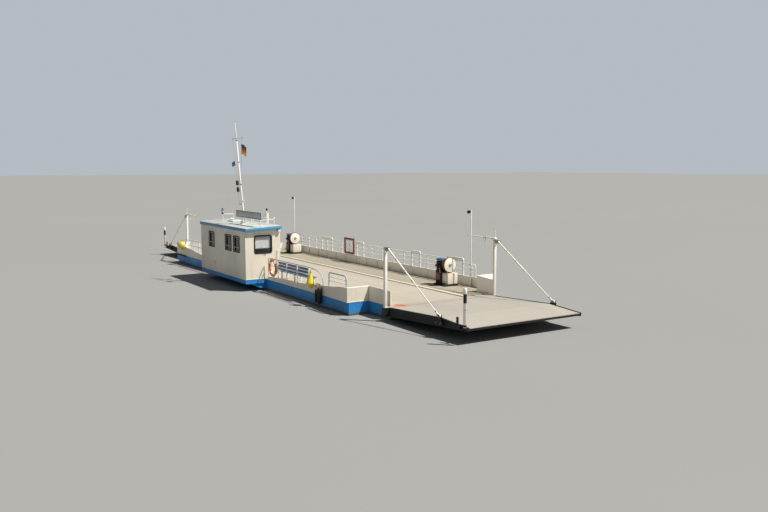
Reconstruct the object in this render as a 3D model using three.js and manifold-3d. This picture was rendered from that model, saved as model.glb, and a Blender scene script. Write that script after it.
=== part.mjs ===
import * as THREE from 'three';
import { mergeVertices } from 'three/addons/utils/BufferGeometryUtils.js';
import Module from 'manifold-3d';

const wasm = await Module();
wasm.setup();

// A small double-ended river ferry, in millimetres.
// Origin: the middle of the flat hull bottom. +X to the landing ramp by the low rail,
// +Y to the side with the raised footway, +Z up. The cabin hangs over the -Y side.

// Hull
const hullDepth = 950;
const hullHalfBeam = 2970;
const hullHalfLength = 10080;
const bottomHalfLength = 9000;
const swimEndLift = 470;
const neckOffset = 2140;
const stepX = 8650;
const deckThick = 20;
const kerbY = 1180;
const footwayRise = 40;
const footwayHalfLength = 9900;
const footwayLeft = { x: -8500, y: 2050 };
const laneCoat = { x: 10000, y0: -2050, y1: 1170, thick: 3 };
const plateThick = 60;
const gap = 0.3;

// Bulwark heights above the deck, as [x, height]
const farTop = 420;
const cornerTop = 620;
const nearRightSheer = [[1700, 110], [4700, 200], [6700, 340], [8650, 510]];
const nearLeftSheer = [[-8650, 430], [-8000, 400], [-7000, 300], [-4700, 120], [-3850, 110]];
const cornerInX = 8550;
const ribPitch = 1000;
const chamfer = { x: 9520, y: 2500 };
const wing = { x: -10350, y: -2520 };
const stepFlare = 70;
const locker = { x: 9480, y: 2160, endY: 2440, top: 690, endTop: 580 };
const slantEnd = [2300, 2360];
const lidThick = 12;
const cornerCleat = [9550, 2740, 1520];
const ribThick = 14;
const ribDepth = 40;
const firstRib = -7800;
const flareStart = 6700;

// Ramps, given for the right end and turned half round for the left one
const beamX = [10080, 10280];
const beamHalfWidth = 2500;
const beamDepth = 310;
const hingeX = 10340;
const hingeZ = 890;
const hingeRadius = 40;
const hingeReach = 2280;
const hingeLeaf = 25;
const knuckles = 8;
const knuckleGap = 12;
const rampLipX = 10300;
const rampBackX = 10400;
const rampBendX = 13250;
const rampTipX = 14650;
const rampHalfWidth = 2370;
const rampBendZ = 1080;
const rampTipZ = 980;
const rampTipThick = 100;
const girderDepth = 300;
const girderWidth = 80;
const crossWidth = 60;
const crossDepth = 130;
const rampPlate = 15;
const rimProud = 10;

// Posts, davits and ramp cylinders
const postX = 10200;
const postY = 2420;
const postSide = 100;
const postTopZ = 3040;
const upperPin = { x: 10400, z: 2970 };
const lowerPin = { x: 13300, z: 1150 };
const headCheek = [42, 50];
const headReach = 50;
const headHalf = 60;
const barrelLength = 1750;
const barrelRadius = 46;
const boreRadius = 34;
const barrelEyeHalf = 36;
const stemRadius = 30;
const barrelFrom = [90, 240];
const rodLength = 1950;
const rodRadius = 30;
const rodEye = { radius: 60, hole: 38, half: 26 };
const lugPinRadius = 20;
const lugCheek = [36, 50];

// Cabin
const cabin = { x0: -3750, x1: 1600, y0: -3920, y1: -2320, top: 3010 };
const wallThick = 50;
const sponsonBottom = 780;
const gussetFoot = 490;
const gussetThick = 15;
const roof = { x0: -3810, x1: 1740, y0: -3960, y1: -2270, z1: 3150 };
const roofRise = 85;
const doorOpening = { x0: -3300, x1: -2550, z0: 990, z1: 2860 };

// Mast
const mastFoot = { x: -440, y: -3120, z: 3500 };
const mastTop = { x: -1250, z: 7740 };
const yard = { z: 6990, x0: -1500, x1: -450 };

const steel = (colour, roughness = 0.5, metalness = 0) =>
  new THREE.MeshStandardMaterial({ color: colour, roughness, metalness });
const paint = {
  blue: steel(0x1f6fc4),
  cream: steel(0xe6e0cf),
  deck: steel(0xcdc4b4, 0.8),
  footway: steel(0xb4b1aa, 0.8),
  black: steel(0x17181a, 0.6),
  white: steel(0xf0efe9, 0.4),
  rail: steel(0xdfe3e4, 0.4),
  paleBlue: steel(0x9cc3dd, 0.4),
  glass: steel(0x20262a, 0.1),
  yellow: steel(0xe9c21a, 0.5),
  orange: steel(0xdd5a22, 0.5),
  brown: steel(0x7c3d28, 0.6),
};

// Closed geometry to a solid, and back to a named mesh
function solid(geometry) {
  geometry.deleteAttribute('normal');
  geometry.deleteAttribute('uv');
  const merged = mergeVertices(geometry, 0.001);
  return new wasm.Manifold(new wasm.Mesh({
    numProp: 3,
    vertProperties: new Float32Array(merged.attributes.position.array),
    triVerts: new Uint32Array(merged.index.array),
  }));
}

function mesh(name, body, material) {
  const raw = body.getMesh();
  const geometry = new THREE.BufferGeometry();
  geometry.setAttribute('position', new THREE.BufferAttribute(new Float32Array(raw.vertProperties), 3));
  geometry.setIndex(new THREE.BufferAttribute(new Uint32Array(raw.triVerts), 1));
  geometry.computeVertexNormals();
  const result = new THREE.Mesh(geometry, material);
  result.name = name;
  return result;
}

const join = (...bodies) => bodies.flat().reduce((sum, body) => sum.add(body));
const cut = (body, ...tools) => tools.flat().reduce((rest, tool) => rest.subtract(tool), body);

function box(x0, x1, y0, y1, z0, z1) {
  const geometry = new THREE.BoxGeometry(x1 - x0, y1 - y0, z1 - z0);
  geometry.translate((x0 + x1) / 2, (y0 + y1) / 2, (z0 + z1) / 2);
  return solid(geometry);
}

function outline(points) {
  const shape = new THREE.Shape();
  shape.setFromPoints(points.map(([u, v]) => new THREE.Vector2(u, v)));
  return shape;
}

// A plan outline [x, y] carried up from z0 to z1
function plate(points, z0, z1) {
  const geometry = new THREE.ExtrudeGeometry(outline(points), { depth: z1 - z0, bevelEnabled: false });
  geometry.translate(0, 0, z0);
  return solid(geometry);
}

// A side outline [x, z] carried across from y0 to y1
function slab(points, y0, y1) {
  const geometry = new THREE.ExtrudeGeometry(outline(points), { depth: y1 - y0, bevelEnabled: false });
  geometry.rotateX(Math.PI / 2);
  geometry.translate(0, y1, 0);
  return solid(geometry);
}

// A round bar between two points, with an even number of sides
function bar(from, to, radius, sides = 8, endRadius = radius) {
  const a = new THREE.Vector3(...from);
  const b = new THREE.Vector3(...to);
  const geometry = new THREE.CylinderGeometry(endRadius, radius, a.distanceTo(b), sides);
  const turn = new THREE.Quaternion();
  turn.setFromUnitVectors(new THREE.Vector3(0, 1, 0), b.clone().sub(a).normalize());
  geometry.applyQuaternion(turn);
  const middle = a.add(b).multiplyScalar(0.5);
  geometry.translate(middle.x, middle.y, middle.z);
  return solid(geometry);
}

// A profile [radius, height] turned about a vertical axis
function turned(profile, x, y, z, sides = 16) {
  const geometry = new THREE.LatheGeometry(profile.map(([r, h]) => new THREE.Vector2(r, h)), sides);
  geometry.rotateX(Math.PI / 2);
  geometry.translate(x, y, z);
  return solid(geometry);
}

// An outline [y, z] carried along X from x0 to x1
function crossPlate(points, x0, x1) {
  const geometry = new THREE.ExtrudeGeometry(outline(points), { depth: x1 - x0, bevelEnabled: false });
  geometry.rotateX(Math.PI / 2);
  geometry.rotateZ(Math.PI / 2);
  geometry.translate(x0, 0, 0);
  return solid(geometry);
}

// A rounded window hole, u across and v up
function windowOutline(u0, u1, v0, v1, r) {
  const shape = new THREE.Shape();
  shape.moveTo(u0 + r, v0);
  shape.lineTo(u1 - r, v0);
  shape.absarc(u1 - r, v0 + r, r, -Math.PI / 2, 0);
  shape.lineTo(u1, v1 - r);
  shape.absarc(u1 - r, v1 - r, r, 0, Math.PI / 2);
  shape.lineTo(u0 + r, v1);
  shape.absarc(u0 + r, v1 - r, r, Math.PI / 2, Math.PI);
  shape.lineTo(u0, v0 + r);
  shape.absarc(u0 + r, v0 + r, r, Math.PI, 1.5 * Math.PI);
  return shape;
}

// A rounded block through a wall that runs along X, from y0 to y1
function windowAlongX([x0, x1, z0, z1, r], y0, y1) {
  const geometry = new THREE.ExtrudeGeometry(windowOutline(x0, x1, z0, z1, r),
    { depth: y1 - y0, bevelEnabled: false, curveSegments: 3 });
  geometry.rotateX(Math.PI / 2);
  geometry.translate(0, y1, 0);
  return solid(geometry);
}

// The same through a wall that runs along Y, from x0 to x1
function windowAlongY([y0, y1, z0, z1, r], x0, x1) {
  const geometry = new THREE.ExtrudeGeometry(windowOutline(y0, y1, z0, z1, r),
    { depth: x1 - x0, bevelEnabled: false, curveSegments: 3 });
  geometry.rotateX(Math.PI / 2);
  geometry.rotateZ(Math.PI / 2);
  geometry.translate(x0, 0, 0);
  return solid(geometry);
}

const turnHalf = (body) => body.rotate([0, 0, 180]);

// Plan of the deck: full width, a narrow neck at opposite corners, the far right corner cut off,
// and a wing past the near left post
const deckPlan = [[wing.x, -hullHalfBeam], [stepX, -hullHalfBeam], [stepX, -neckOffset],
  [hullHalfLength, -neckOffset], [hullHalfLength, chamfer.y], [chamfer.x, hullHalfBeam],
  [-stepX, hullHalfBeam], [-stepX, neckOffset], [-hullHalfLength, neckOffset],
  [-hullHalfLength, wing.y], [wing.x, wing.y]];

function hullBody() {
  const top = hullDepth - deckThick - gap;
  const side = [[-hullHalfLength, top], [-hullHalfLength, swimEndLift], [-bottomHalfLength, 0],
    [bottomHalfLength, 0], [hullHalfLength, swimEndLift], [hullHalfLength, top]];
  const block = slab(side, -hullHalfBeam, hullHalfBeam);
  const wingBlock = box(wing.x, 1 - hullHalfLength, -hullHalfBeam, wing.y, hullDepth - beamDepth, top);
  return join(block.intersect(plate(deckPlan, -1, hullDepth)), wingBlock);
}

// Deck plate with the raised non-slip coat of the lane between kerb and cabin
function deckBody() {
  const { x, y0, y1, thick } = laneCoat;
  const coat = box(-x, x, y0, y1, hullDepth - 1, hullDepth + thick);
  return join(plate(deckPlan, hullDepth - deckThick, hullDepth), coat);
}

function footwayBody() {
  const z0 = hullDepth + gap;
  const z1 = hullDepth + footwayRise;
  const inner = hullHalfBeam - plateThick - gap;
  const end = footwayHalfLength;
  const lockerSide = locker.x - gap;
  const lockerSlope = (locker.endY - locker.y) / (hullHalfLength - locker.x);
  const lockerEndY = locker.y + lockerSlope * (end - locker.x) - 1;
  const { x, y } = footwayLeft;
  return plate([[-end, kerbY], [end, kerbY], [end, lockerEndY], [lockerSide, locker.y - 1],
    [lockerSide, inner], [x, inner], [x, y], [-end, y]], z0, z1);
}

const sheerOutline = (sheer, z0) => {
  const first = sheer[0][0];
  const last = sheer[sheer.length - 1][0];
  return [[first, z0], [last, z0], ...sheer.map(([x, h]) => [x, hullDepth + h]).reverse()];
};

const bulwarkFoot = hullDepth + gap;
const footwayTop = hullDepth + footwayRise;

function bulwarkNearRight() {
  const outer = -hullHalfBeam;
  const top = hullDepth + nearRightSheer[3][1];
  const side = slab(sheerOutline(nearRightSheer, bulwarkFoot), outer, outer + plateThick);
  const neckInner = -neckOffset + plateThick;
  const step = box(stepX - plateThick, stepX, outer - stepFlare, neckInner, bulwarkFoot, top);
  const neck = box(stepX - plateThick, hullHalfLength, -neckOffset, neckInner, bulwarkFoot, top);
  const flare = slab(sheerOutline(nearRightSheer, bulwarkFoot), outer - stepFlare, outer + 1)
    .intersect(plate([[flareStart, outer + 1], [stepX, outer - stepFlare], [stepX, outer + 1]], 0, top + 1));
  return join(side, flare, step, neck);
}

// Corner by the near left post, drawn for the opposite corner: an inner wall that slants in,
// and a plate that closes its top
function slantCorner() {
  const outer = hullHalfBeam;
  const side = slab([[cornerInX, bulwarkFoot], [hullHalfLength, bulwarkFoot],
    [hullHalfLength, hullDepth + cornerTop], [cornerInX, hullDepth + farTop]], outer - plateThick, outer);
  const [wallY, wallBackY] = slantEnd;
  const wall = plate([[cornerInX, outer - plateThick], [hullHalfLength, wallY], [hullHalfLength, wallBackY],
    [cornerInX + 100, outer - 20]], bulwarkFoot, hullDepth + farTop);
  const lidTop = [[hullHalfLength, hullDepth + cornerTop], [cornerInX, hullDepth + farTop]];
  const lidUnder = lidTop.map(([x, z]) => [x, z - lidThick]).reverse();
  const lid = slab([...lidUnder, ...lidTop], wallY - 1, outer);
  const insideLine = plate([[cornerInX, outer - plateThick], [hullHalfLength, wallY], [hullHalfLength, outer],
    [cornerInX, outer]], bulwarkFoot, 2 * hullDepth);
  return join(side, wall, lid.intersect(insideLine));
}

// Corner by the far right post: a locker with a diagonal front and a lid that slopes to the post
function cornerLocker() {
  const plan = plate([[locker.x, locker.y], [hullHalfLength, locker.endY], [hullHalfLength, chamfer.y],
    [chamfer.x, hullHalfBeam], [locker.x, hullHalfBeam]], bulwarkFoot, hullDepth + locker.top + 5);
  const [from, to] = [locker.x - 1, hullHalfLength + 1];
  const side = slab([[from, bulwarkFoot], [to, bulwarkFoot], [to, hullDepth + locker.endTop],
    [from, hullDepth + locker.top]], 0, hullHalfBeam + 1);
  return plan.intersect(side);
}

function cleat(x, y, z) {
  return join(
    box(x - 90, x + 90, y - 45, y + 45, z - 30, z + 12),
    bar([x - 55, y, z], [x - 55, y, z + 110], 26),
    bar([x + 55, y, z], [x + 55, y, z + 110], 26),
    bar([x - 130, y, z + 95], [x + 130, y, z + 95], 20));
}

function bulwarkFar() {
  const outer = hullHalfBeam;
  const top = hullDepth + farTop;
  const side = box(-stepX, locker.x + 20, outer - plateThick, outer, bulwarkFoot, top);
  const neckInner = neckOffset - plateThick;
  const step = box(-stepX, -stepX + plateThick, neckInner, outer, bulwarkFoot, top);
  const neck = box(-hullHalfLength, -stepX + plateThick, neckInner, neckOffset, bulwarkFoot, top);
  const ribBack = outer - plateThick + 1;
  const ribs = [];
  for (let x = firstRib; x < locker.x - ribPitch / 2; x += ribPitch) {
    ribs.push(box(x, x + ribThick, ribBack - ribDepth, ribBack, footwayTop + gap, top - 20));
  }
  return join(side, step, neck, cornerLocker(), ...ribs);
}

function bulwarkNearLeft() {
  const outer = -hullHalfBeam;
  const side = slab(sheerOutline(nearLeftSheer, bulwarkFoot), outer, outer + plateThick);
  const wingTop = hullDepth + cornerTop;
  const wingSide = box(wing.x, 1 - hullHalfLength, outer, outer + plateThick, bulwarkFoot, wingTop);
  return join(side, wingSide, turnHalf(join(slantCorner(), cleat(...cornerCleat))));
}

// Dark end beam under the posts, with its half of the hinge knuckles
function endBeam() {
  const beam = box(beamX[0] + gap, beamX[1], -beamHalfWidth, beamHalfWidth, hullDepth - beamDepth, hullDepth);
  const pitch = (2 * hingeReach) / knuckles;
  const parts = [beam];
  for (let i = 0; i < knuckles; i += 2) {
    const y0 = -hingeReach + i * pitch;
    const y1 = y0 + pitch - knuckleGap;
    parts.push(bar([hingeX, y0, hingeZ], [hingeX, y1, hingeZ], hingeRadius, 12));
    parts.push(box(beamX[1] - 1, hingeX, y0, y1, hingeZ - hingeLeaf, hingeZ + hingeLeaf));
  }
  return join(...parts);
}

function rampFrame() {
  const topAt = (x) => (x < rampBendX
    ? hullDepth + ((rampBendZ - hullDepth) * (x - rampBackX)) / (rampBendX - rampBackX)
    : rampBendZ + ((rampTipZ - rampBendZ) * (x - rampBendX)) / (rampTipX - rampBendX));
  const side = [[rampBackX, hullDepth - girderDepth], [rampTipX, rampTipZ - rampTipThick],
    [rampTipX, rampTipZ + rimProud], [rampBendX, rampBendZ + rimProud], [rampBackX, hullDepth + rimProud]];
  const underPlate = side.map(([x, z], i) => [x, i > 1 ? z - rimProud - rampPlate - gap : z]);
  const girders = [
    slab(side, -rampHalfWidth, -rampHalfWidth + girderWidth),
    slab(side, rampHalfWidth - girderWidth, rampHalfWidth),
    slab(underPlate, -girderWidth / 2, girderWidth / 2),
  ];
  const thinCross = [11200, 12100, rampBendX - 80, 13950].map((x) => [x, crossWidth, crossDepth]);
  const crossAt = [[rampBackX, 100, crossDepth], ...thinCross, [rampTipX - 100, 100, 70]];
  const cross = crossAt.map(([x, width, depth]) => {
    const top = Math.min(topAt(x), topAt(x + width)) - rampPlate - gap;
    return box(x, x + width, -rampHalfWidth + 10, rampHalfWidth - 10, top - depth, top);
  });
  const pitch = (2 * hingeReach) / knuckles;
  const hinges = [];
  for (let i = 1; i < knuckles; i += 2) {
    const y0 = -hingeReach + i * pitch;
    const y1 = y0 + pitch - knuckleGap;
    hinges.push(bar([hingeX, y0, hingeZ], [hingeX, y1, hingeZ], hingeRadius, 12));
    hinges.push(box(hingeX, rampBackX + 1, y0, y1, hingeZ - hingeLeaf, hingeZ + hingeLeaf));
  }
  return join(...girders, ...cross, ...hinges, rampLug(1), rampLug(-1));
}

// Fork on the ramp's edge, with the pin through the eye of the cylinder's rod
function rampLug(side) {
  const { x, z } = lowerPin;
  const foot = [[x - 170, 880], [x + 170, 880], [x + 60, z + 45], [x - 60, z + 45]];
  const y = (a, b) => (side > 0 ? [a, b] : [-b, -a]);
  return join(
    slab(foot, ...y(rampHalfWidth - 1, rampHalfWidth + 14)),
    slab(foot, ...y(postY + lugCheek[0], postY + lugCheek[1])),
    box(x - 170, x + 170, ...y(rampHalfWidth, postY + lugCheek[1]), 870, 960),
    bar([x, side * rampHalfWidth, z], [x, side * (postY + lugCheek[0] + 4), z], lugPinRadius, 10));
}

function rampDeck() {
  const surface = [[rampLipX, hullDepth], [rampBackX, hullDepth], [rampBendX, rampBendZ],
    [rampTipX, rampTipZ]];
  const under = surface.map(([x, z]) => [x, z - rampPlate]).reverse();
  const inner = rampHalfWidth - girderWidth - gap;
  return slab([...surface, ...under], -inner, inner);
}

// A square post with its head bracket; facing is +1 for the right end and -1 for the left
function post(facing, side) {
  const x = facing * postX;
  const y = side * postY;
  const half = postSide / 2;
  const pinX = facing * upperPin.x;
  const reach = facing > 0 ? [x + half - 1, pinX + headReach] : [pinX - headReach, x - half + 1];
  const [inner, outer] = headCheek;
  return join(
    box(x - half, x + half, y - half, y + half, hullDepth + gap, postTopZ),
    box(...reach, y - outer, y - inner, upperPin.z - headHalf, upperPin.z + headHalf),
    box(...reach, y + inner, y + outer, upperPin.z - headHalf, upperPin.z + headHalf));
}

// Points along the cylinder, measured from its upper pin towards the lower one
const cylinderSpan = Math.hypot(lowerPin.x - upperPin.x, lowerPin.z - upperPin.z);
function onCylinder(facing, side, distance) {
  const t = distance / cylinderSpan;
  return [facing * (upperPin.x + t * (lowerPin.x - upperPin.x)), side * postY,
    upperPin.z + t * (lowerPin.z - upperPin.z)];
}

function cylinderBarrel(facing, side) {
  const at = (d) => onCylinder(facing, side, d);
  const [x, y, z] = at(0);
  const [tubeFrom, boreFrom] = barrelFrom;
  const tube = bar(at(tubeFrom), at(barrelLength), barrelRadius, 16);
  const bore = bar(at(boreFrom), at(barrelLength + 10), boreRadius, 16);
  const eye = bar([x, y - barrelEyeHalf, z], [x, y + barrelEyeHalf, z], barrelRadius, 16);
  return join(cut(tube, bore), eye, bar(at(0), at(tubeFrom + stemRadius), stemRadius, 8));
}

function cylinderRod(facing, side) {
  const at = (d) => onCylinder(facing, side, d);
  const [x, y, z] = at(cylinderSpan);
  const { radius, hole, half } = rodEye;
  const eye = bar([x, y - half, z], [x, y + half, z], radius, 16);
  const rod = bar(at(cylinderSpan - rodLength), at(cylinderSpan - hole / 2), rodRadius, 16);
  return cut(join(rod, eye), bar([x, y - half - 10, z], [x, y + half + 10, z], hole, 16));
}

// Small davit on a post head: a socket collar, an arm inboard and a hook on its strap
function davit(facing, side) {
  const x = facing * postX;
  const y = side * postY;
  const z = postTopZ + 45;
  const inboard = (d) => x - facing * d;
  const strap = [inboard(530), inboard(562)].sort((a, b) => a - b);
  return join(
    bar([x, y, postTopZ + 6], [x, y, postTopZ + 90], 70, 12),
    bar([x, y, z], [x, y, 3410], 15),
    bar([x, y, z], [inboard(640), y, z], 42, 10),
    bar([inboard(630), y, z], [inboard(1610), y, z], 17),
    box(...strap, y - 10, y + 10, z - 230, z),
    bar([inboard(600), y, z - 260], [inboard(492), y, z - 260], 40, 10),
    bar([inboard(546), y, z - 250], [inboard(546), y, z - 345], 14));
}

function sponson() {
  const body = box(cabin.x0, cabin.x1, cabin.y0, -hullHalfBeam - gap, sponsonBottom, hullDepth);
  const root = -hullHalfBeam - gap;
  const gussets = [];
  for (let i = 0; i < 6; i += 1) {
    const x = cabin.x0 + 60 + (i * (cabin.x1 - cabin.x0 - 135)) / 5;
    gussets.push(crossPlate([[cabin.y0 + 150, sponsonBottom + 1], [root, sponsonBottom + 1],
      [root, gussetFoot], [root - 40, gussetFoot]].reverse(), x, x + gussetThick));
  }
  return join(body, ...gussets);
}

// Window holes, as [u0, u1, z0, z1, corner radius]
const nearWindows = [[-2710, -2000, 2070, 2760, 30], [-690, 50, 2060, 2760, 30], [270, 980, 2060, 2760, 30]];
const endWindow = [-3520, -2700, 2050, 2830, 90];
const deckWindows = [[-1800, -350, 1950, 2760, 60], [-50, 1350, 1950, 2760, 60]];
const doorWindow = [-3140, -2710, 2000, 2700, 50];
const glassSet = 12;
const paneThick = 8;

function nearWall() {
  const wall = box(cabin.x0, cabin.x1, cabin.y0, cabin.y0 + wallThick, hullDepth + gap, cabin.top);
  return cut(wall, nearWindows.map((hole) => windowAlongX(hole, cabin.y0 - 10, cabin.y0 + wallThick + 10)));
}

// Under side and top of the roof, which rises to the deck side
const roofUnder = (y) => cabin.top + (roofRise * (y - roof.y0)) / (roof.y1 - roof.y0);
const roofTop = (y) => roofUnder(y) + roof.z1 - cabin.top;

function endWall(atRight) {
  const x0 = atRight ? cabin.x1 - wallThick : cabin.x0;
  const ya = cabin.y0 + wallThick + gap;
  const yb = cabin.y1 - wallThick - gap;
  const wall = crossPlate([[ya, bulwarkFoot], [yb, bulwarkFoot], [yb, roofUnder(yb)], [ya, roofUnder(ya)]],
    x0, x0 + wallThick);
  return cut(wall, windowAlongY(endWindow, x0 - 10, x0 + wallThick + 10));
}

function deckWall() {
  const y0 = cabin.y1 - wallThick;
  const wall = box(cabin.x0, cabin.x1, y0, cabin.y1, hullDepth + gap, roofUnder(y0));
  const { x0, x1, z0, z1 } = doorOpening;
  return cut(wall, deckWindows.map((hole) => windowAlongX(hole, y0 - 10, cabin.y1 + 10)),
    box(x0, x1, y0 - 10, cabin.y1 + 10, z0, z1));
}

const doorClear = 8;
function door() {
  const y0 = cabin.y1 - wallThick + 10;
  const { x0, x1, z0, z1 } = doorOpening;
  const leaf = box(x0 + doorClear, x1 - doorClear, y0, cabin.y1 + 4, z0 + doorClear, z1 - doorClear);
  const handle = join(
    box(x1 - 80, x1 - 60, cabin.y1, cabin.y1 + 60, 1940, 1960),
    box(x1 - 180, x1 - 60, cabin.y1 + 45, cabin.y1 + 60, 1940, 1960));
  return join(cut(leaf, windowAlongX(doorWindow, y0 - 10, cabin.y1 + 20)), handle);
}

// A pane inside its opening, a little smaller than the hole
function paneAlongX([x0, x1, z0, z1, r], y) {
  const c = 1;
  return windowAlongX([x0 + c, x1 - c, z0 + c, z1 - c, r], y, y + paneThick);
}

function paneAlongY([y0, y1, z0, z1, r], x) {
  const c = 1;
  return windowAlongY([y0 + c, y1 - c, z0 + c, z1 - c, r], x, x + paneThick);
}

// One long pane against the inner face, behind a row of openings
function paneBehind(holes, y) {
  const lap = 25;
  const x0 = Math.min(...holes.map((hole) => hole[0])) - lap;
  const x1 = Math.max(...holes.map((hole) => hole[1])) + lap;
  return box(x0, x1, y, y + paneThick, holes[0][2] - lap, holes[0][3] + lap);
}

function roofBody() {
  const { x0, x1, y0, y1 } = roof;
  return crossPlate([[y0, roofUnder(y0) + gap], [y1, roofUnder(y1) + gap], [y1, roofTop(y1)],
    [y0, roofTop(y0)]], x0, x1);
}

function steeringDesk() {
  const desk = slab([[900, 970], [1480, 970], [1480, 1950], [1150, 1900], [900, 1780]], -3700, -2600);
  const seat = box(250, 700, -3400, -2950, 1350, 1450);
  const leg = bar([475, -3175, 970], [475, -3175, 1400], 60, 10);
  const foot = box(300, 1000, -3400, -2950, 951, 990);
  return join(desk, seat, leg, foot);
}

function mastPole() {
  const { x, y, z } = mastFoot;
  const lean = (h) => x + ((mastTop.x - x) * (h - z)) / (mastTop.z - z);
  return join(
    bar([x, y, z], [mastTop.x, y, mastTop.z], 48, 12, 22),
    bar([x, y - 40, z], [x, y + 40, z], 55, 12),
    bar([yard.x0, y, yard.z], [yard.x1, y, yard.z], 20),
    bar([lean(4200) - 90, y, 4200], [lean(4200) + 160, y, 4200], 16),
    bar([yard.x0 + 30, y, yard.z], [yard.x0 + 30, y, yard.z - 60], 12));
}

function mastStep() {
  const { x, y, z } = mastFoot;
  const [y0, y1] = [y - 130, y + 130];
  const padThick = 24;
  const pad = crossPlate([[y0, roofTop(y0) + gap], [y1, roofTop(y1) + gap], [y1, roofTop(y1) + padThick],
    [y0, roofTop(y0) + padThick]], x - 140, x + 140);
  return join(pad,
    box(x - 70, x + 70, y - 68, y - 54, roofTop(y) + 8, z + 70),
    box(x - 70, x + 70, y + 54, y + 68, roofTop(y) + 8, z + 70));
}

// Two black day shapes on their halyard, from the yard's end down to the mast
function daySignals() {
  const { y } = mastFoot;
  const top = [yard.x0 + 40, y - 45, yard.z + 10];
  const low = [-760, y - 45, 4050];
  const along = (t) => top.map((v, i) => v + (low[i] - v) * t);
  return join(
    bar(top, low, 8, 6),
    bar(along(0.645), along(0.71), 62, 12),
    bar(along(0.745), along(0.81), 62, 12),
    box(low[0] - 20, low[0] + 160, y - 60, y - 50 + 12, low[2] - 10, low[2] + 30));
}

function flag() {
  const x = yard.x1 - 30;
  const { y } = mastFoot;
  return join(
    bar([x, y - 30, yard.z - 21], [x + 12, y - 30, 5500], 6, 6),
    box(x, x + 420, y - 50, y - 12, 6180, 6730));
}

const boardY = -3225;
const boardLegs = [800, 1600];
// Blank board along the roof beside the mast, on two legs
function nameBoard() {
  const back = boardY + 29;
  const legs = boardLegs.map((x) => box(x - 15, x + 15, boardY - 1, back, roofTop(back) + gap, 3760));
  return [box(-980, 1720, boardY - 30, boardY, 3500, 3790), ...legs];
}

// Low pipe rail along the roof's deck side, with the lamp posts and the board that it steadies
function roofRail() {
  const railZ = 3470;
  const y = -2450;
  const xs = [-3300, -2150, -1150, 480, 1300];
  const lampY = -3000;
  const foot = roofTop(y + 20) + gap;
  return join(
    bar([xs[0] - 15, y, railZ], [xs[4] + 15, y, railZ], 15, 6),
    ...xs.map((x) => bar([x, y, foot], [x, y, railZ], 15, 6)),
    bar([xs[0], y, railZ], [xs[0], lampY, railZ], 15, 6),
    bar([xs[0], lampY, roofTop(lampY + 20) + gap], [xs[0], lampY, 3560], 20),
    bar([xs[0], lampY, 3480], [xs[0], lampY, 3770], 55, 10),
    bar([xs[3], y, foot], [xs[3], y, 3820], 18),
    bar([xs[3], y, 3640], [xs[3], y, 3720], 30, 10, 80),
    bar([xs[3], y, 3790], [xs[3], y, 3930], 50, 10),
    bar([xs[4], y, railZ], [boardLegs[1], boardY + 15, railZ], 12, 6),
    bar([xs[4], y, railZ - 10], [xs[4], y, 3570], 32, 10),
    ...nameBoard());
}

const pipeSides = 4;
// A straight pipe rail: posts from foot to top, and rails between the first and last post
function pipeRail(xs, y, footAt, topZ, rails, radius = 20) {
  const parts = xs.map((x) => bar([x, y, footAt(x)], [x, y, topZ], radius, pipeSides));
  rails.forEach((z) => parts.push(
    bar([xs[0] - radius, y, z], [xs[xs.length - 1] + radius, y, z], radius * 0.85, pipeSides)));
  return parts;
}

function lampPole(x, y, footZ, aim) {
  return [
    bar([x, y, footZ], [x, y, 4040], 24),
    bar([x, y, 4020], [x + aim * 110, y, 4000], 16),
    bar([x + aim * 60, y, 3990], [x + aim * 190, y, 3950], 55, 10, 70),
  ];
}

const farRailY = hullHalfBeam - plateThick / 2;
const farFoot = () => hullDepth + farTop + gap;

// The long rail with its three heavier frames, the lower rail past the winch, and two lamp poles,
// the right one standing on the footway
function farRail() {
  const xs = [-8500, -7700, -6800, -5900, -5100, -2300, -1300, 600, 1560, 2510, 3370, 5180, 6200, 7100, 7640];
  const frames = [[-4400, -3850, -3310], [-780, -160], [4000, 4620]];
  const poleX = 8250;
  const poleY = 2850;
  return join(...pipeRail(xs, farRailY, farFoot, 1950, [1950, 1770, 1590]),
    ...frames.flatMap((posts) => pipeRail(posts, farRailY, farFoot, 2040, [2040], 32)),
    ...pipeRail([7640, poleX, 8450], farRailY, farFoot, 1880, [1870, 1690]),
    bar([poleX, farRailY, 1870], [poleX, poleY, 1870], 14),
    bar([poleX, farRailY, 1690], [poleX, poleY, 1690], 14),
    ...lampPole(-7700, farRailY, farFoot(), -1),
    ...lampPole(poleX, poleY, footwayTop + gap, -1));
}

const nearRailY = -hullHalfBeam + plateThick / 2;
const railPipe = 20;
function sheerAt(sheer, x) {
  const i = Math.max(1, sheer.findIndex(([sx]) => sx >= x));
  const [xa, ha] = sheer[i - 1];
  const [xb, hb] = sheer[i];
  return hullDepth + ha + ((hb - ha) * (x - xa)) / (xb - xa);
}

// Where a pipe stands clear on the sloping top of a bulwark
const footOn = (sheer) => (x) =>
  Math.max(sheerAt(sheer, x - railPipe), sheerAt(sheer, x + railPipe)) + gap;

// Low rail beside the bench; its top pipe curves down to the bulwark at the far end
function nearRail() {
  const foot = footOn(nearRightSheer);
  const xs = [1750, 2700, 3540, 4500, 5500];
  const parts = pipeRail(xs, nearRailY, foot, 1870, [1870, 1560]);
  const bend = [[5500, 1870], [6050, 1850], [6420, 1760], [6650, 1600], [6690, foot(6690)]];
  for (let i = 1; i < bend.length; i += 1) {
    parts.push(bar([bend[i - 1][0], nearRailY, bend[i - 1][1]], [bend[i][0], nearRailY, bend[i][1]], 20));
  }
  return join(...parts);
}

function nearHoop() {
  const foot = footOn(nearRightSheer);
  return join(...pipeRail([7150, 8430], nearRailY, foot, 1860, [1860, 1700, 1560]));
}

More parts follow.
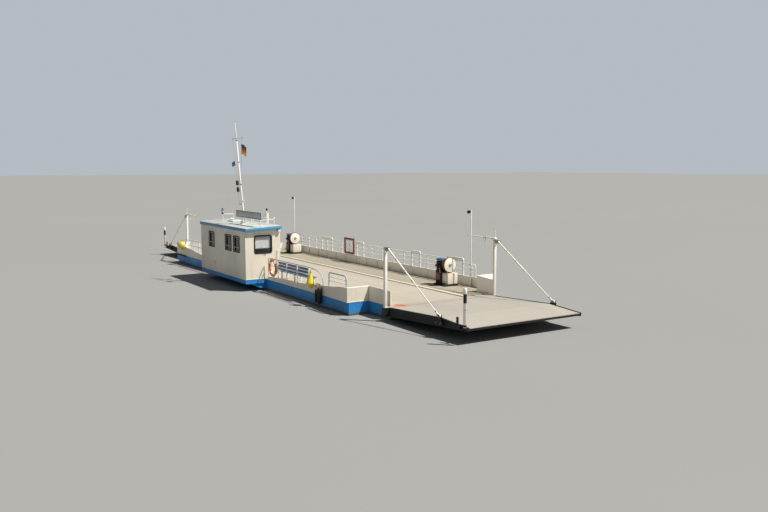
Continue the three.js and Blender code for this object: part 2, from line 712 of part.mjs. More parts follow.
function nearLeftRail() {
  const foot = footOn(nearLeftSheer);
  return join(...pipeRail([-8450, -7700, -6900, -6000, -5000, -4000], nearRailY, foot, 1850, [1850, 1560]));
}

function lifeRing() {
  const geometry = new THREE.TorusGeometry(320, 56, 8, 20);
  geometry.rotateX(Math.PI / 2);
  geometry.translate(2360, nearRailY - 82, 1510);
  return solid(geometry);
}

const buoyY = -3160;
// Yellow float with a cone below and a slim neck
function buoyRight() {
  const profile = [[0, 0], [35, 10], [140, 210], [165, 310], [130, 420], [60, 500], [42, 690], [0, 690]];
  return turned(profile, 6070, buoyY, 1130);
}

// Round yellow float
function buoyLeft() {
  const profile = [[0, 0], [90, 25], [160, 100], [186, 220], [160, 330], [90, 410], [30, 440], [30, 490],
    [0, 490]];
  return turned(profile, -8950, buoyY, 1290);
}

// Two black rolls on one carrying bar
function fender() {
  const y = -3096;
  const rolls = [6350, 6640];
  const profile = [[0, 0], [80, 10], [118, 60], [118, 670], [80, 720], [0, 730]];
  return join(...rolls.map((x) => turned(profile, x, y, 600)),
    bar([rolls[0] - 30, y, 1338], [rolls[1] + 30, y, 1338], 15));
}

function bench() {
  const parts = [box(2600, 5300, -2860, -2480, 1380, 1420), box(2600, 5300, -2880, -2850, 1400, 1800)];
  [2750, 3950, 5120].forEach((x) => parts.push(box(x, x + 50, -2840, -2500, hullDepth + gap, 1390)));
  return join(...parts);
}

// Rope winch: a bed with a box, the engine behind it, and the drum that the engine carries
const winchY = 2240;
const winchZ = 1840;
function winchFrame(x) {
  const base = footwayTop + gap;
  return join(
    box(x - 740, x, winchY - 300, winchY + 360, base, base + 60),
    box(x - 400, x - 20, winchY - 140, winchY + 340, base + 50, 1500),
    box(x - 720, x - 330, winchY - 230, winchY + 230, base + 50, 1980),
    box(x - 700, x - 345, winchY - 210, winchY + 210, 1979, 2060),
    bar([x - 331, winchY, winchZ], [x - 288, winchY, winchZ], 60, 12));
}

function winchDrum(x) {
  const round = (from, to, radius, sides) =>
    bar([x + from, winchY, winchZ], [x + to, winchY, winchZ], radius, sides);
  return join(
    round(-282, -262, 220, 20),
    round(-263, -60, 150, 16),
    round(-61, -36, 315, 28),
    round(-37, 0, 300, 28),
    round(-1, 35, 55, 12));
}

// Tapered marker post beside a ramp's tip, on a bar from its bracket on the ramp's edge
function marker(facing, x, footZ) {
  const y = -rampHalfWidth - 85;
  const inboard = x - facing * 365;
  return join(
    bar([x, y, footZ], [x, y, footZ + 1200], 50, 12, 42),
    box(inboard - 30, inboard + 30, y - 25, -rampHalfWidth - gap, 900, 1280),
    bar([inboard, y, 1060], [x, y, 1060], 22));
}

// Framed rack for rescue gear, hung on the far rail above the bulwark
function rescueRack() {
  const [x0, x1, y0, y1, z0, z1] = [-1910, -970, 2856, 2916, 1400, 2190];
  const side = 70;
  const frame = join(
    box(x0, x0 + side, y0, y1, z0, z1),
    box(x1 - side, x1, y0, y1, z0, z1),
    box(x0, x1, y0, y1, z1 - side, z1),
    box(x0, x1, y0, y1, z0, z0 + side));
  const slatAt = [-1740, -1600, -1460, -1320, -1180];
  const slats = slatAt.map((x) => box(x, x + 40, y0 + 10, y1 - 20, z0 + 10, z1 - 10));
  return join(frame, ...slats);
}

const ferry = new THREE.Group();
const hullGroup = new THREE.Group();
const cabinGroup = new THREE.Group();
const gearGroup = new THREE.Group();
ferry.add(hullGroup, cabinGroup, gearGroup);

hullGroup.add(
  mesh('hull', hullBody(), paint.blue),
  mesh('deck', deckBody(), paint.deck),
  mesh('footway', footwayBody(), paint.footway),
  mesh('bulwark_near_right', bulwarkNearRight(), paint.cream),
  mesh('bulwark_near_left', bulwarkNearLeft(), paint.cream),
  mesh('bulwark_far', bulwarkFar(), paint.cream),
  mesh('end_beam_right', endBeam(), paint.black),
  mesh('end_beam_left', turnHalf(endBeam()), paint.black));

[['right', 1], ['left', -1]].forEach(([end, facing]) => {
  const place = (body) => (facing > 0 ? body : turnHalf(body));
  hullGroup.add(
    mesh(`ramp_${end}_frame`, place(rampFrame()), paint.black),
    mesh(`ramp_${end}_deck`, place(rampDeck()), paint.deck));
  [['near', -1], ['far', 1]].forEach(([row, side]) => {
    hullGroup.add(
      mesh(`post_${end}_${row}`, post(facing, side), paint.white),
      mesh(`cylinder_${end}_${row}`, cylinderBarrel(facing, side), paint.white),
      mesh(`rod_${end}_${row}`, cylinderRod(facing, side), paint.white));
  });
});

cabinGroup.add(
  mesh('cabin_sponson', sponson(), paint.blue),
  mesh('cabin_wall_near', nearWall(), paint.cream),
  mesh('cabin_wall_right', endWall(true), paint.cream),
  mesh('cabin_wall_left', endWall(false), paint.cream),
  mesh('cabin_wall_deck', deckWall(), paint.cream),
  mesh('cabin_door', door(), paint.cream),
  mesh('cabin_roof', roofBody(), paint.blue),
  mesh('cabin_console', steeringDesk(), paint.black),
  mesh('pane_near', paneBehind(nearWindows, cabin.y0 + wallThick + gap), paint.glass),
  mesh('pane_deck', paneBehind(deckWindows, cabin.y1 - wallThick - paneThick - gap), paint.glass),
  mesh('pane_right', paneAlongY(endWindow, cabin.x1 - wallThick + glassSet), paint.glass),
  mesh('pane_left', paneAlongY(endWindow, cabin.x0 + wallThick - glassSet - paneThick), paint.glass),
  mesh('pane_door', paneAlongX(doorWindow, cabin.y1 - 30), paint.glass));

gearGroup.add(
  mesh('mast', mastPole(), paint.white),
  mesh('mast_step', mastStep(), paint.white),
  mesh('day_signals', daySignals(), paint.black),
  mesh('flag', flag(), paint.orange),
  mesh('roof_rail', roofRail(), paint.rail),
  mesh('davit_right', davit(1, 1), paint.rail),
  mesh('davit_left', davit(-1, -1), paint.rail),
  mesh('rail_far', farRail(), paint.rail),
  mesh('rail_near', nearRail(), paint.paleBlue),
  mesh('rail_near_hoop', nearHoop(), paint.paleBlue),
  mesh('rail_near_left', nearLeftRail(), paint.rail),
  mesh('life_ring', lifeRing(), paint.orange),
  mesh('buoy_right', buoyRight(), paint.yellow),
  mesh('buoy_left', buoyLeft(), paint.yellow),
  mesh('fender', fender(), paint.black),
  mesh('bench', bench(), paint.blue),
  mesh('rescue_rack', rescueRack(), paint.brown));
[['right', 7720], ['left', -6190]].forEach(([end, x]) => {
  gearGroup.add(
    mesh(`winch_${end}_frame`, winchFrame(x), paint.cream),
    mesh(`winch_${end}_drum`, winchDrum(x), paint.white));
});
[['right', 1, 14630, 1010], ['left', -1, -14200, 910]].forEach(([end, facing, x, footZ]) => {
  gearGroup.add(mesh(`marker_${end}`, marker(facing, x, footZ), paint.white));
});

export default ferry;
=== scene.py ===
import bpy
import numpy as np
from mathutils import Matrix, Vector


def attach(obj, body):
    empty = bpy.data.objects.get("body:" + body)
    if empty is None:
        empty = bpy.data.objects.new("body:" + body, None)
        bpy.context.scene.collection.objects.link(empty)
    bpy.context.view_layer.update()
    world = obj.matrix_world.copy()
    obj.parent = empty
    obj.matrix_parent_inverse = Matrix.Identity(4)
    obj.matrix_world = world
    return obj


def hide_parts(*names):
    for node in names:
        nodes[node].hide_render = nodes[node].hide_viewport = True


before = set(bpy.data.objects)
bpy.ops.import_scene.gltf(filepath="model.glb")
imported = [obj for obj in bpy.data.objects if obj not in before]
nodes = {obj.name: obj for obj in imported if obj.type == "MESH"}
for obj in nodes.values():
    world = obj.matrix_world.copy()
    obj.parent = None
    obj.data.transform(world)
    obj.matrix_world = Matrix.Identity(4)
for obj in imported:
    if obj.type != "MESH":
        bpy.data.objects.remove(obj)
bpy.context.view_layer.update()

# Metres, in the frame of the boat: +X to the right ramp, +Y to the footway side, +Z up
waterZ = 0.46
deckZ = 0.95
footwayZ = 0.99
halfBeam = 2.97
twoPi = 2 * np.pi
axisX, axisY, axisZ = np.eye(3)

# Camera, light and world
view = dict(place=(33.0, -17.0, 5.81), aim=(-0.8378, 0.5337, -0.1132), lens=37.5, film=36.0, reach=600.0)
light = dict(key=(0.396, 0.362, 0.843), keyStrength=5.2, keyAngle=0.03, keyColour=(1.0, 0.955, 0.88),
             fill=(0.85, -0.35, 0.40), fillStrength=0.18, fillAngle=1.2, fillColour=(0.95, 0.97, 1.0),
             sky=(0.84, 0.91, 1.0), skyStrength=0.15, backdrop=(0.46, 0.50, 0.54))


def makeStage():
    scene = bpy.context.scene
    camera = bpy.data.objects.new("Camera", bpy.data.cameras.new("Camera"))
    scene.collection.objects.link(camera)
    camera.data.lens = view["lens"]
    camera.data.sensor_width = view["film"]
    camera.data.clip_end = view["reach"]
    camera.location = view["place"]
    camera.rotation_mode = "QUATERNION"
    camera.rotation_quaternion = Vector(view["aim"]).to_track_quat("-Z", "Y")
    scene.camera = camera
    for name in ("key", "fill"):
        sun = bpy.data.lights.new(name, "SUN")
        sun.energy = light[name + "Strength"]
        sun.angle = light[name + "Angle"]
        sun.color = light[name + "Colour"]
        holder = bpy.data.objects.new(name, sun)
        holder.rotation_mode = "QUATERNION"
        holder.rotation_quaternion = (-Vector(light[name])).to_track_quat("-Z", "Y")
        scene.collection.objects.link(holder)
    world = bpy.data.worlds.new("studio")
    world.use_nodes = True
    tree = world.node_tree
    lit = tree.nodes["Background"]
    lit.inputs["Color"].default_value = (*light["sky"], 1)
    lit.inputs["Strength"].default_value = light["skyStrength"]
    # the backdrop is paler to the camera than the light that it gives
    seen = tree.nodes.new("ShaderNodeBackground")
    seen.inputs["Color"].default_value = (*light["backdrop"], 1)
    path = tree.nodes.new("ShaderNodeLightPath")
    both = tree.nodes.new("ShaderNodeMixShader")
    tree.links.new(path.outputs["Is Camera Ray"], both.inputs[0])
    tree.links.new(lit.outputs[0], both.inputs[1])
    tree.links.new(seen.outputs[0], both.inputs[2])
    tree.links.new(both.outputs[0], tree.nodes["World Output"].inputs["Surface"])
    scene.world = world
    scene.view_settings.view_transform = "Standard"


makeStage()
print("stage ready")


# Shader building. A link runs from one socket to another
def addNode(tree, kind, values=None, **settings):
    made = tree.nodes.new(kind)
    for key, value in settings.items():
        setattr(made, key, value)
    for key, value in (values or {}).items():
        made.inputs[key].default_value = value
    return made


def link(tree, source, target):
    tree.links.new(source, target)


def feed(tree, socket, value):
    # a number or a colour is set on the socket, and another socket is linked to it
    if isinstance(value, (int, float)):
        socket.default_value = value
    elif isinstance(value, tuple):
        socket.default_value = (*value, 1)
    elif value is not None:
        link(tree, value, socket)


def newGroup(name, inputs, outputs):
    # inputs are first values by name, a tuple for a colour; outputs are names
    tree = bpy.data.node_groups.new(name, "ShaderNodeTree")
    for label, value in inputs.items():
        kind = "NodeSocketColor" if isinstance(value, tuple) else "NodeSocketFloat"
        socket = tree.interface.new_socket(label, in_out="INPUT", socket_type=kind)
        socket.default_value = (*value, 1) if isinstance(value, tuple) else value
    for label in outputs:
        kind = "NodeSocketColor" if label == "Color" else "NodeSocketFloat"
        tree.interface.new_socket(label, in_out="OUTPUT", socket_type=kind)
    return tree, tree.nodes.new("NodeGroupInput"), tree.nodes.new("NodeGroupOutput")


def mathNode(tree, operation, a, b=None, clamp=False):
    made = tree.nodes.new("ShaderNodeMath")
    made.operation = operation
    made.use_clamp = clamp
    for socket, value in zip(made.inputs, (a, b)):
        feed(tree, socket, value)
    return made.outputs[0]


def times(tree, a, b):
    return mathNode(tree, "MULTIPLY", a, b, True)


def plus(tree, a, b, clamp=False):
    return mathNode(tree, "ADD", a, b, clamp)


def minus(tree, a, b):
    return mathNode(tree, "SUBTRACT", a, b)


def mixColour(tree, amount, a, b):
    made = tree.nodes.new("ShaderNodeMix")
    made.data_type = "RGBA"
    for socket, value in ((made.inputs["Factor"], amount), (made.inputs[6], a), (made.inputs[7], b)):
        feed(tree, socket, value)
    return made.outputs[2]


def rampNode(tree, source, low, high):
    # 0 below low, 1 above high, a soft step between; low above high turns it over
    made = tree.nodes.new("ShaderNodeMapRange")
    made.interpolation_type = "SMOOTHSTEP"
    made.inputs["From Min"].default_value = low
    made.inputs["From Max"].default_value = high
    link(tree, source, made.inputs["Value"])
    return made.outputs["Result"]


def placeOnPiece(tree):
    return tree.nodes.new("ShaderNodeTexCoord").outputs["Object"]


def axesOf(tree, source=None):
    axes = tree.nodes.new("ShaderNodeSeparateXYZ")
    link(tree, source or placeOnPiece(tree), axes.inputs[0])
    return axes.outputs


def noiseNode(tree, scale, detail=4.0, stretch=None, roughness=0.55):
    coords = placeOnPiece(tree)
    if stretch is not None:
        mapping = addNode(tree, "ShaderNodeMapping", {"Scale": stretch})
        link(tree, coords, mapping.inputs["Vector"])
        coords = mapping.outputs["Vector"]
    made = addNode(tree, "ShaderNodeTexNoise", {"Scale": scale, "Detail": detail, "Roughness": roughness})
    link(tree, coords, made.inputs["Vector"])
    return made.outputs["Fac"]


def noiseMask(tree, low, high, *noise):
    # noise turned into a mask that runs from 0 at low to 1 at high
    return rampNode(tree, noiseNode(tree, *noise), low, high)


# Paint on steel out of doors: cloudy blotches, painted shade darkening the corners, grime running down, chips
# with rust in them
def makeWeatherShadeGroup():
    tree, given, out = newGroup("weatheredPaintAndShade", {
        "Paint": (0.8, 0.8, 0.8), "Dirt And Shade": (0.2, 0.17, 0.12), "Rust": (0.18, 0.06, 0.02),
        "Blotches": 0.5, "Streaks": 0.4, "Chips": 0.4}, ["Color", "Roughness", "Height"])
    paint, dirt, rust = (given.outputs[name] for name in ("Paint", "Dirt And Shade", "Rust"))
    blotches, streaks, chips = (given.outputs[name] for name in ("Blotches", "Streaks", "Chips"))
    cloud = noiseMask(tree, 0.35, 0.75, 0.9, 6.0)
    mottle = noiseMask(tree, 0.40, 0.80, 6.0, 6.0)
    fine = noiseNode(tree, 14.0, 5.0)
    runs = noiseMask(tree, 0.52, 0.78, 7.0, 5.0, (1.0, 1.0, 0.06))
    thinRuns = noiseMask(tree, 0.60, 0.80, 26.0, 3.0, (1.0, 1.0, 0.03))
    bevel = addNode(tree, "ShaderNodeBevel", {"Radius": 0.018}, samples=4)
    face = tree.nodes.new("ShaderNodeNewGeometry")
    dot = addNode(tree, "ShaderNodeVectorMath", operation="DOT_PRODUCT")
    link(tree, bevel.outputs["Normal"], dot.inputs[0])
    link(tree, face.outputs["Normal"], dot.inputs[1])
    edge = rampNode(tree, minus(tree, 1.0, dot.outputs["Value"]), 0.02, 0.25)
    # ambient occlusion: corners and hollows are darkened towards the dirt colour, painted shade
    shade = addNode(tree, "ShaderNodeAmbientOcclusion", {"Distance": 0.16}, samples=4, only_local=False)
    corner = rampNode(tree, shade.outputs["AO"], 0.85, 0.35)
    spots = noiseMask(tree, 0.50, 0.62, 5.0, 8.0, None, 0.7)
    pits = noiseMask(tree, 0.66, 0.72, 3.2, 10.0, None, 0.75)
    chipMask = times(tree, times(tree, edge, spots), chips)
    rustMask = mathNode(tree, "MAXIMUM", chipMask, times(tree, pits, times(tree, chips, 0.7)))
    colour = mixColour(tree, times(tree, cloud, times(tree, blotches, 0.45)), paint, dirt)
    colour = mixColour(tree, times(tree, mottle, times(tree, blotches, 0.16)), colour, dirt)
    # painted shade: the corners mixed towards the dirt colour
    colour = mixColour(tree, times(tree, corner, 0.45), colour, dirt)
    colour = mixColour(tree, times(tree, runs, times(tree, streaks, 0.6)), colour, dirt)
    colour = mixColour(tree, times(tree, thinRuns, times(tree, streaks, 0.35)), colour, rust)
    colour = mixColour(tree, rustMask, colour, rust)
    link(tree, colour, out.inputs["Color"])
    rough = plus(tree, times(tree, cloud, 0.18), times(tree, rustMask, 0.4))
    rough = plus(tree, rough, times(tree, mottle, 0.08))
    link(tree, plus(tree, rough, 0.34, True), out.inputs["Roughness"])
    link(tree, minus(tree, times(tree, fine, 0.25), rustMask), out.inputs["Height"])
    return tree


# Lines at a regular pitch along each axis, as where plates are welded together; a long pitch leaves them out
def makeSeamGroup():
    tree, given, out = newGroup("plateSeams", {"Pitch X": 2.0, "Pitch Y": 90.0, "Pitch Z": 90.0,
                                               "Width": 0.012}, ["Mask"])
    axes = axesOf(tree)
    lines = []
    for axis in ("X", "Y", "Z"):
        pitch = given.outputs["Pitch " + axis]
        turn = mathNode(tree, "FRACT", mathNode(tree, "DIVIDE", axes[axis], pitch))
        off = mathNode(tree, "ABSOLUTE", minus(tree, turn, 0.5))
        away = mathNode(tree, "MULTIPLY", minus(tree, 0.5, off), pitch)
        lines.append(mathNode(tree, "LESS_THAN", away, given.outputs["Width"]))
    both = mathNode(tree, "MAXIMUM", lines[0], lines[1])
    link(tree, mathNode(tree, "MAXIMUM", both, lines[2]), out.inputs["Mask"])
    return tree


# Three strands round a rope: |sin(pi (3 u + v / lay))|, u round it and v the length so far
def makeLayGroup():
    tree, given, out = newGroup("ropeLay", {"Lay": 0.08}, ["Strand"])
    uv = axesOf(tree, tree.nodes.new("ShaderNodeTexCoord").outputs["UV"])
    along = mathNode(tree, "DIVIDE", uv["Y"], given.outputs["Lay"])
    phase = plus(tree, mathNode(tree, "MULTIPLY", uv["X"], 3.0), along)
    wave = mathNode(tree, "SINE", mathNode(tree, "MULTIPLY", phase, np.pi))
    link(tree, mathNode(tree, "ABSOLUTE", wave), out.inputs["Strand"])
    return tree


# A soft spot of worn red primer by the near post of the right ramp, over deck, beam and ramp alike
def makePrimerGroup():
    tree, given, out = newGroup("primerSpot", {"Middle X": 10.1, "Middle Y": -1.76}, ["Mask"])
    axes = axesOf(tree)
    dx = mathNode(tree, "DIVIDE", minus(tree, axes["X"], given.outputs["Middle X"]), 0.30)
    dy = mathNode(tree, "DIVIDE", minus(tree, axes["Y"], given.outputs["Middle Y"]), 0.26)
    far = plus(tree, mathNode(tree, "POWER", mathNode(tree, "ABSOLUTE", dx), 2.0),
               mathNode(tree, "POWER", mathNode(tree, "ABSOLUTE", dy), 2.0))
    ragged = plus(tree, far, noiseNode(tree, 4.0, 5.0))
    link(tree, rampNode(tree, ragged, 1.7, 0.9), out.inputs["Mask"])
    return tree


weatherShadeGroup = makeWeatherShadeGroup()
seamGroup = makeSeamGroup()
layGroup = makeLayGroup()
primerGroup = makePrimerGroup()


def newMaterial(name, **settings):
    material = bpy.data.materials.new(name)
    material.use_nodes = True
    tree = material.node_tree
    shader = tree.nodes["Principled BSDF"]
    for key, value in settings.items():
        shader.inputs[key.replace("_", " ")].default_value = value
    return material, tree, shader


def placeGroup(tree, group, values):
    made = addNode(tree, "ShaderNodeGroup", node_tree=group)
    for key, value in values.items():
        feed(tree, made.inputs[key], value)
    return made.outputs


def bumpFrom(tree, height, shader, strength=0.25, distance=0.004):
    bump = addNode(tree, "ShaderNodeBump", {"Strength": strength, "Distance": distance})
    link(tree, height, bump.inputs["Height"])
    link(tree, bump.outputs["Normal"], shader.inputs["Normal"])


def wearAndShade(tree, shader, paint, dirt=(0.20, 0.17, 0.12), rust=(0.16, 0.055, 0.02), blotches=0.4,
         streaks=0.35, chips=0.35, seams=None, rougher=0.0):
    values = {"Paint": paint, "Dirt And Shade": dirt, "Rust": rust, "Blotches": blotches, "Streaks": streaks,
              "Chips": chips}
    # the group also darkens corners and hollows towards the dirt colour: painted shade
    worn = placeGroup(tree, weatherShadeGroup, values)
    colour, height = worn["Color"], worn["Height"]
    if seams:
        mask = placeGroup(tree, seamGroup, seams)["Mask"]
        colour = mixColour(tree, times(tree, mask, 0.35), colour, dirt)
        height = plus(tree, height, mask)
    link(tree, colour, shader.inputs["Base Color"])
    rough = plus(tree, worn["Roughness"], rougher, True) if rougher else worn["Roughness"]
    link(tree, rough, shader.inputs["Roughness"])
    bumpFrom(tree, height, shader)


def paintMaterial(name, paint, coat=0.0, **settings):
    material, tree, shader = newMaterial(name, Coat_Weight=coat)
    wearAndShade(tree, shader, paint, **settings)
    return material


# Blue topsides with plate seams, over a boot strip gone brown and olive at the water, and black below
def hullMaterial():
    material, tree, shader = newMaterial("hullPaint", Specular_IOR_Level=0.25)
    z = axesOf(tree)["Z"]
    ragged = times(tree, noiseNode(tree, 2.2, 6.0, (1.0, 1.0, 0.4)), 0.10)
    wet = rampNode(tree, minus(tree, z, ragged), waterZ + 0.075, waterZ + 0.02)
    lowZ = minus(tree, z, mathNode(tree, "MULTIPLY", ragged, 0.3))
    under = rampNode(tree, lowZ, waterZ + 0.01, waterZ - 0.02)
    colour = mixColour(tree, wet, (0.036, 0.270, 0.65), (0.15, 0.125, 0.06))
    colour = mixColour(tree, under, colour, (0.012, 0.012, 0.013))
    wearAndShade(tree, shader, colour, dirt=(0.05, 0.14, 0.25), rust=(0.10, 0.05, 0.03), streaks=0.7, chips=0.5,
         seams={"Pitch X": 2.0, "Width": 0.007})
    return material


# Sandy anti-slip coat: fine grit, plate seams, scuffs drawn out along the lanes, rust by the hinges
def deckMaterial(name, coat, scuff, pitchX, pitchY):
    material, tree, shader = newMaterial(name)
    seams = placeGroup(tree, seamGroup, {"Pitch X": pitchX, "Pitch Y": pitchY, "Width": 0.007})["Mask"]
    pale = tuple(1.25 * value for value in coat)
    lanes = noiseMask(tree, 0.42, 0.72, 1.4, 6.0, (0.12, 1.0, 1.0))
    patches = noiseMask(tree, 0.40, 0.70, 0.45, 7.0)
    scratches = noiseMask(tree, 0.62, 0.78, 9.0, 4.0, (0.10, 1.0, 1.0))
    grit = noiseNode(tree, 160.0, 2.0)
    colour = mixColour(tree, times(tree, lanes, 0.38), coat, scuff)
    colour = mixColour(tree, times(tree, patches, 0.25), colour, pale)
    colour = mixColour(tree, times(tree, scratches, 0.30), colour, scuff)
    colour = mixColour(tree, times(tree, seams, 0.45), colour, (0.20, 0.15, 0.10))
    spot = placeGroup(tree, primerGroup, {})["Mask"]
    colour = mixColour(tree, times(tree, spot, 0.85), colour, (0.60, 0.16, 0.09))
    # the group also darkens the deck's corners towards the dirt colour: painted shade
    worn = placeGroup(tree, weatherShadeGroup, {"Paint": colour, "Dirt And Shade": (0.24, 0.20, 0.15), "Streaks": 0.0,
                                           "Rust": (0.20, 0.09, 0.04), "Blotches": 0.3, "Chips": 0.5})
    link(tree, worn["Color"], shader.inputs["Base Color"])
    link(tree, plus(tree, worn["Roughness"], 0.28, True), shader.inputs["Roughness"])
    bumpFrom(tree, minus(tree, times(tree, grit, 0.5), seams), shader, 0.35, 0.003)
    return material


# Tar black beam whose trodden top has the coat of the deck
def beamMaterial():
    material, tree, shader = newMaterial("beamPaint")
    worn = noiseMask(tree, 0.80, 0.62, 3.0, 6.0)
    top = times(tree, mathNode(tree, "GREATER_THAN", axesOf(tree)["Z"], deckZ - 0.001), worn)
    spot = times(tree, placeGroup(tree, primerGroup, {})["Mask"], top)
    coat = mixColour(tree, top, (0.006, 0.007, 0.008), (0.45, 0.41, 0.345))
    wearAndShade(tree, shader, mixColour(tree, spot, coat, (0.60, 0.16, 0.09)), dirt=(0.024, 0.021, 0.017),
         streaks=0.2, chips=0.4, rougher=0.15)
    return material


# Clear pane, or a near-black one whose dark colour is painted shade of the cabin behind it, with a
# rain-marked surface
def glassMaterial(name, clean, smeared, alpha):
    material, tree, shader = newMaterial(name, Metallic=0.0, Transmission_Weight=0.9, IOR=1.45, Alpha=alpha)
    smear = noiseMask(tree, 0.35, 0.8, 2.5, 5.0)
    spots = noiseMask(tree, 0.62, 0.75, 40.0, 4.0, (1.0, 1.0, 0.3))
    link(tree, mixColour(tree, smear, clean, smeared), shader.inputs["Base Color"])
    link(tree, plus(tree, times(tree, spots, 0.12), 0.03), shader.inputs["Roughness"])
    return material


# Rope and wire: the strands come from the lay group, with stray fibres over them; the grooves between the
# strands take the shade colour, painted shade
def ropeMaterial(name, colour, shade, lay, roughness=0.85):
    material, tree, shader = newMaterial(name, Roughness=roughness)
    strand = placeGroup(tree, layGroup, {"Lay": lay})["Strand"]
    mixed = mixColour(tree, times(tree, noiseNode(tree, 60.0, 3.0), 0.5), colour, shade)
    link(tree, mixColour(tree, rampNode(tree, strand, 0.5, 0.0), mixed, shade), shader.inputs["Base Color"])
    bumpFrom(tree, strand, shader, 0.8, 0.003)
    return material


# Bands over the cloth's height from the top down, each (colour, where it ends), with the weave
def clothMaterial(name, bands):
    material, tree, shader = newMaterial(name, Roughness=0.8, Sheen_Weight=0.3)
    coords = tree.nodes.new("ShaderNodeTexCoord").outputs["UV"]
    height = axesOf(tree, coords)["Y"]
    colour = bands[0][0]
    for (_, edge), (nextColour, _) in zip(bands, bands[1:]):
        colour = mixColour(tree, mathNode(tree, "LESS_THAN", height, edge), colour, nextColour)
    threads = addNode(tree, "ShaderNodeTexWave", {"Scale": 220.0, "Distortion": 0.5}, bands_direction="X")
    link(tree, coords, threads.inputs["Vector"])
    faded = mixColour(tree, times(tree, noiseNode(tree, 9.0), 0.15), colour, (0.45, 0.40, 0.34))
    pale = times(tree, threads.outputs["Fac"], 0.10)
    link(tree, mixColour(tree, pale, faded, (0.6, 0.5, 0.4)), shader.inputs["Base Color"])
    bumpFrom(tree, threads.outputs["Fac"], shader, 0.3, 0.001)
    return material


def metalMaterial(name, colour, tarnish, roughness):
    material, tree, shader = newMaterial(name, Metallic=0.9)
    spotted = noiseMask(tree, 0.4, 0.75, 9.0, 6.0)
    link(tree, mixColour(tree, times(tree, spotted, 0.5), colour, tarnish), shader.inputs["Base Color"])
    rough = plus(tree, times(tree, spotted, 0.3), roughness, True)
    link(tree, rough, shader.inputs["Roughness"])
    return material


hullPaint = hullMaterial()
# a paler copy of the cream paint: painted light on the far bulwark's shaded inner face
paintedLightCream = paintMaterial("paintedLightCream", (0.98, 0.95, 0.87), dirt=(0.5, 0.46, 0.38), blotches=0.3,
                           streaks=0.4, seams={"Pitch X": 1.0, "Width": 0.004})
creamPaint = paintMaterial("creamPaint", (0.83, 0.78, 0.66), blotches=0.3, streaks=0.4,
                           seams={"Pitch X": 1.78, "Width": 0.004})
trimPaint = paintMaterial("trimPaint", (0.88, 0.86, 0.79), blotches=0.15, streaks=0.2, chips=0.3)
whitePaint = paintMaterial("whitePaint", (0.93, 0.89, 0.82), dirt=(0.38, 0.34, 0.27), blotches=0.25,
                           streaks=0.4, chips=0.4)
railPaint = paintMaterial("railPaint", (0.94, 0.93, 0.89), dirt=(0.4, 0.38, 0.33), blotches=0.3, chips=0.5)
paleBluePaint = paintMaterial("paleBluePaint", (0.50, 0.60, 0.66), dirt=(0.3, 0.33, 0.33), chips=0.5)
tarPaint = paintMaterial("tarPaint", (0.006, 0.007, 0.008), dirt=(0.016, 0.014, 0.012),
                         rust=(0.05, 0.022, 0.012), chips=0.5, rougher=0.25)
brownPaint = paintMaterial("brownPaint", (0.22, 0.05, 0.032), chips=0.3)
capPaint = paintMaterial("capPaint", (0.36, 0.30, 0.225), dirt=(0.14, 0.10, 0.07), chips=0.8)
fasciaBlue = paintMaterial("fasciaBlue", (0.065, 0.31, 0.56), dirt=(0.14, 0.24, 0.32), blotches=0.5)
roofCoat = paintMaterial("roofCoat", (0.58, 0.64, 0.66), dirt=(0.34, 0.34, 0.30), blotches=0.9, streaks=0.0)
hoodBlue = paintMaterial("hoodBlue", (0.05, 0.16, 0.36), dirt=(0.18, 0.2, 0.22), blotches=0.6)
benchBlue = paintMaterial("benchBlue", (0.05, 0.15, 0.32), dirt=(0.15, 0.18, 0.2), chips=0.5)
floatYellow = paintMaterial("floatYellow", (0.82, 0.64, 0.07), chips=0.0, coat=0.2, rust=(0.3, 0.2, 0.05))
ringOrange = paintMaterial("ringOrange", (0.74, 0.17, 0.06), chips=0.0, rust=(0.4, 0.1, 0.04))
ringWhite = paintMaterial("ringWhite", (0.82, 0.80, 0.74), chips=0.0)
discPaint = paintMaterial("discPaint", (0.98, 0.95, 0.87), dirt=(0.5, 0.42, 0.32), blotches=0.2,
                          streaks=0.1, chips=0.3)
rubberBlack = paintMaterial("rubberBlack", (0.010, 0.010, 0.011), dirt=(0.045, 0.042, 0.035),
                            rust=(0.03, 0.03, 0.03), rougher=0.2)
boardPaint = paintMaterial("boardPaint", (0.50, 0.55, 0.54), dirt=(0.25, 0.27, 0.26), chips=0.2)
boardEdge = paintMaterial("boardEdge", (0.09, 0.16, 0.20), dirt=(0.2, 0.22, 0.22), chips=0.4)
panelGrey = paintMaterial("panelGrey", (0.05, 0.052, 0.055), chips=0.1)
slatGrey = paintMaterial("slatGrey", (0.86, 0.89, 0.90), dirt=(0.7, 0.72, 0.72), blotches=0.2, chips=0.0,
                         streaks=0.1)
matRubber = paintMaterial("matRubber", (0.03, 0.03, 0.03), chips=0.0, rougher=0.2)
lensGlass = paintMaterial("lensGlass", (0.86, 0.85, 0.80), coat=0.8, blotches=0.2, streaks=0.1, chips=0.0)
kerbPaint = paintMaterial("kerbPaint", (0.84, 0.79, 0.68), blotches=0.5, chips=0.9)
deckCoat = deckMaterial("deckCoat", (0.48, 0.44, 0.37), (0.37, 0.335, 0.28), 2.0, 1.19)
rampCoat = deckMaterial("rampCoat", (0.43, 0.41, 0.365), (0.33, 0.312, 0.275), 1.5, 1.19)
footwayCoat = deckMaterial("footwayCoat", (0.37, 0.335, 0.265), (0.28, 0.25, 0.20), 2.0, 90.0)
beamPaint = beamMaterial()
clearGlass = glassMaterial("clearGlass", (0.74, 0.77, 0.76), (0.66, 0.68, 0.66), 0.20)
# near-black, nearly opaque panes: painted shade of the dim cabin seen through them
paintedShadeGlass = glassMaterial("paintedShadeGlass", (0.012, 0.011, 0.010), (0.025, 0.022, 0.019), 0.92)
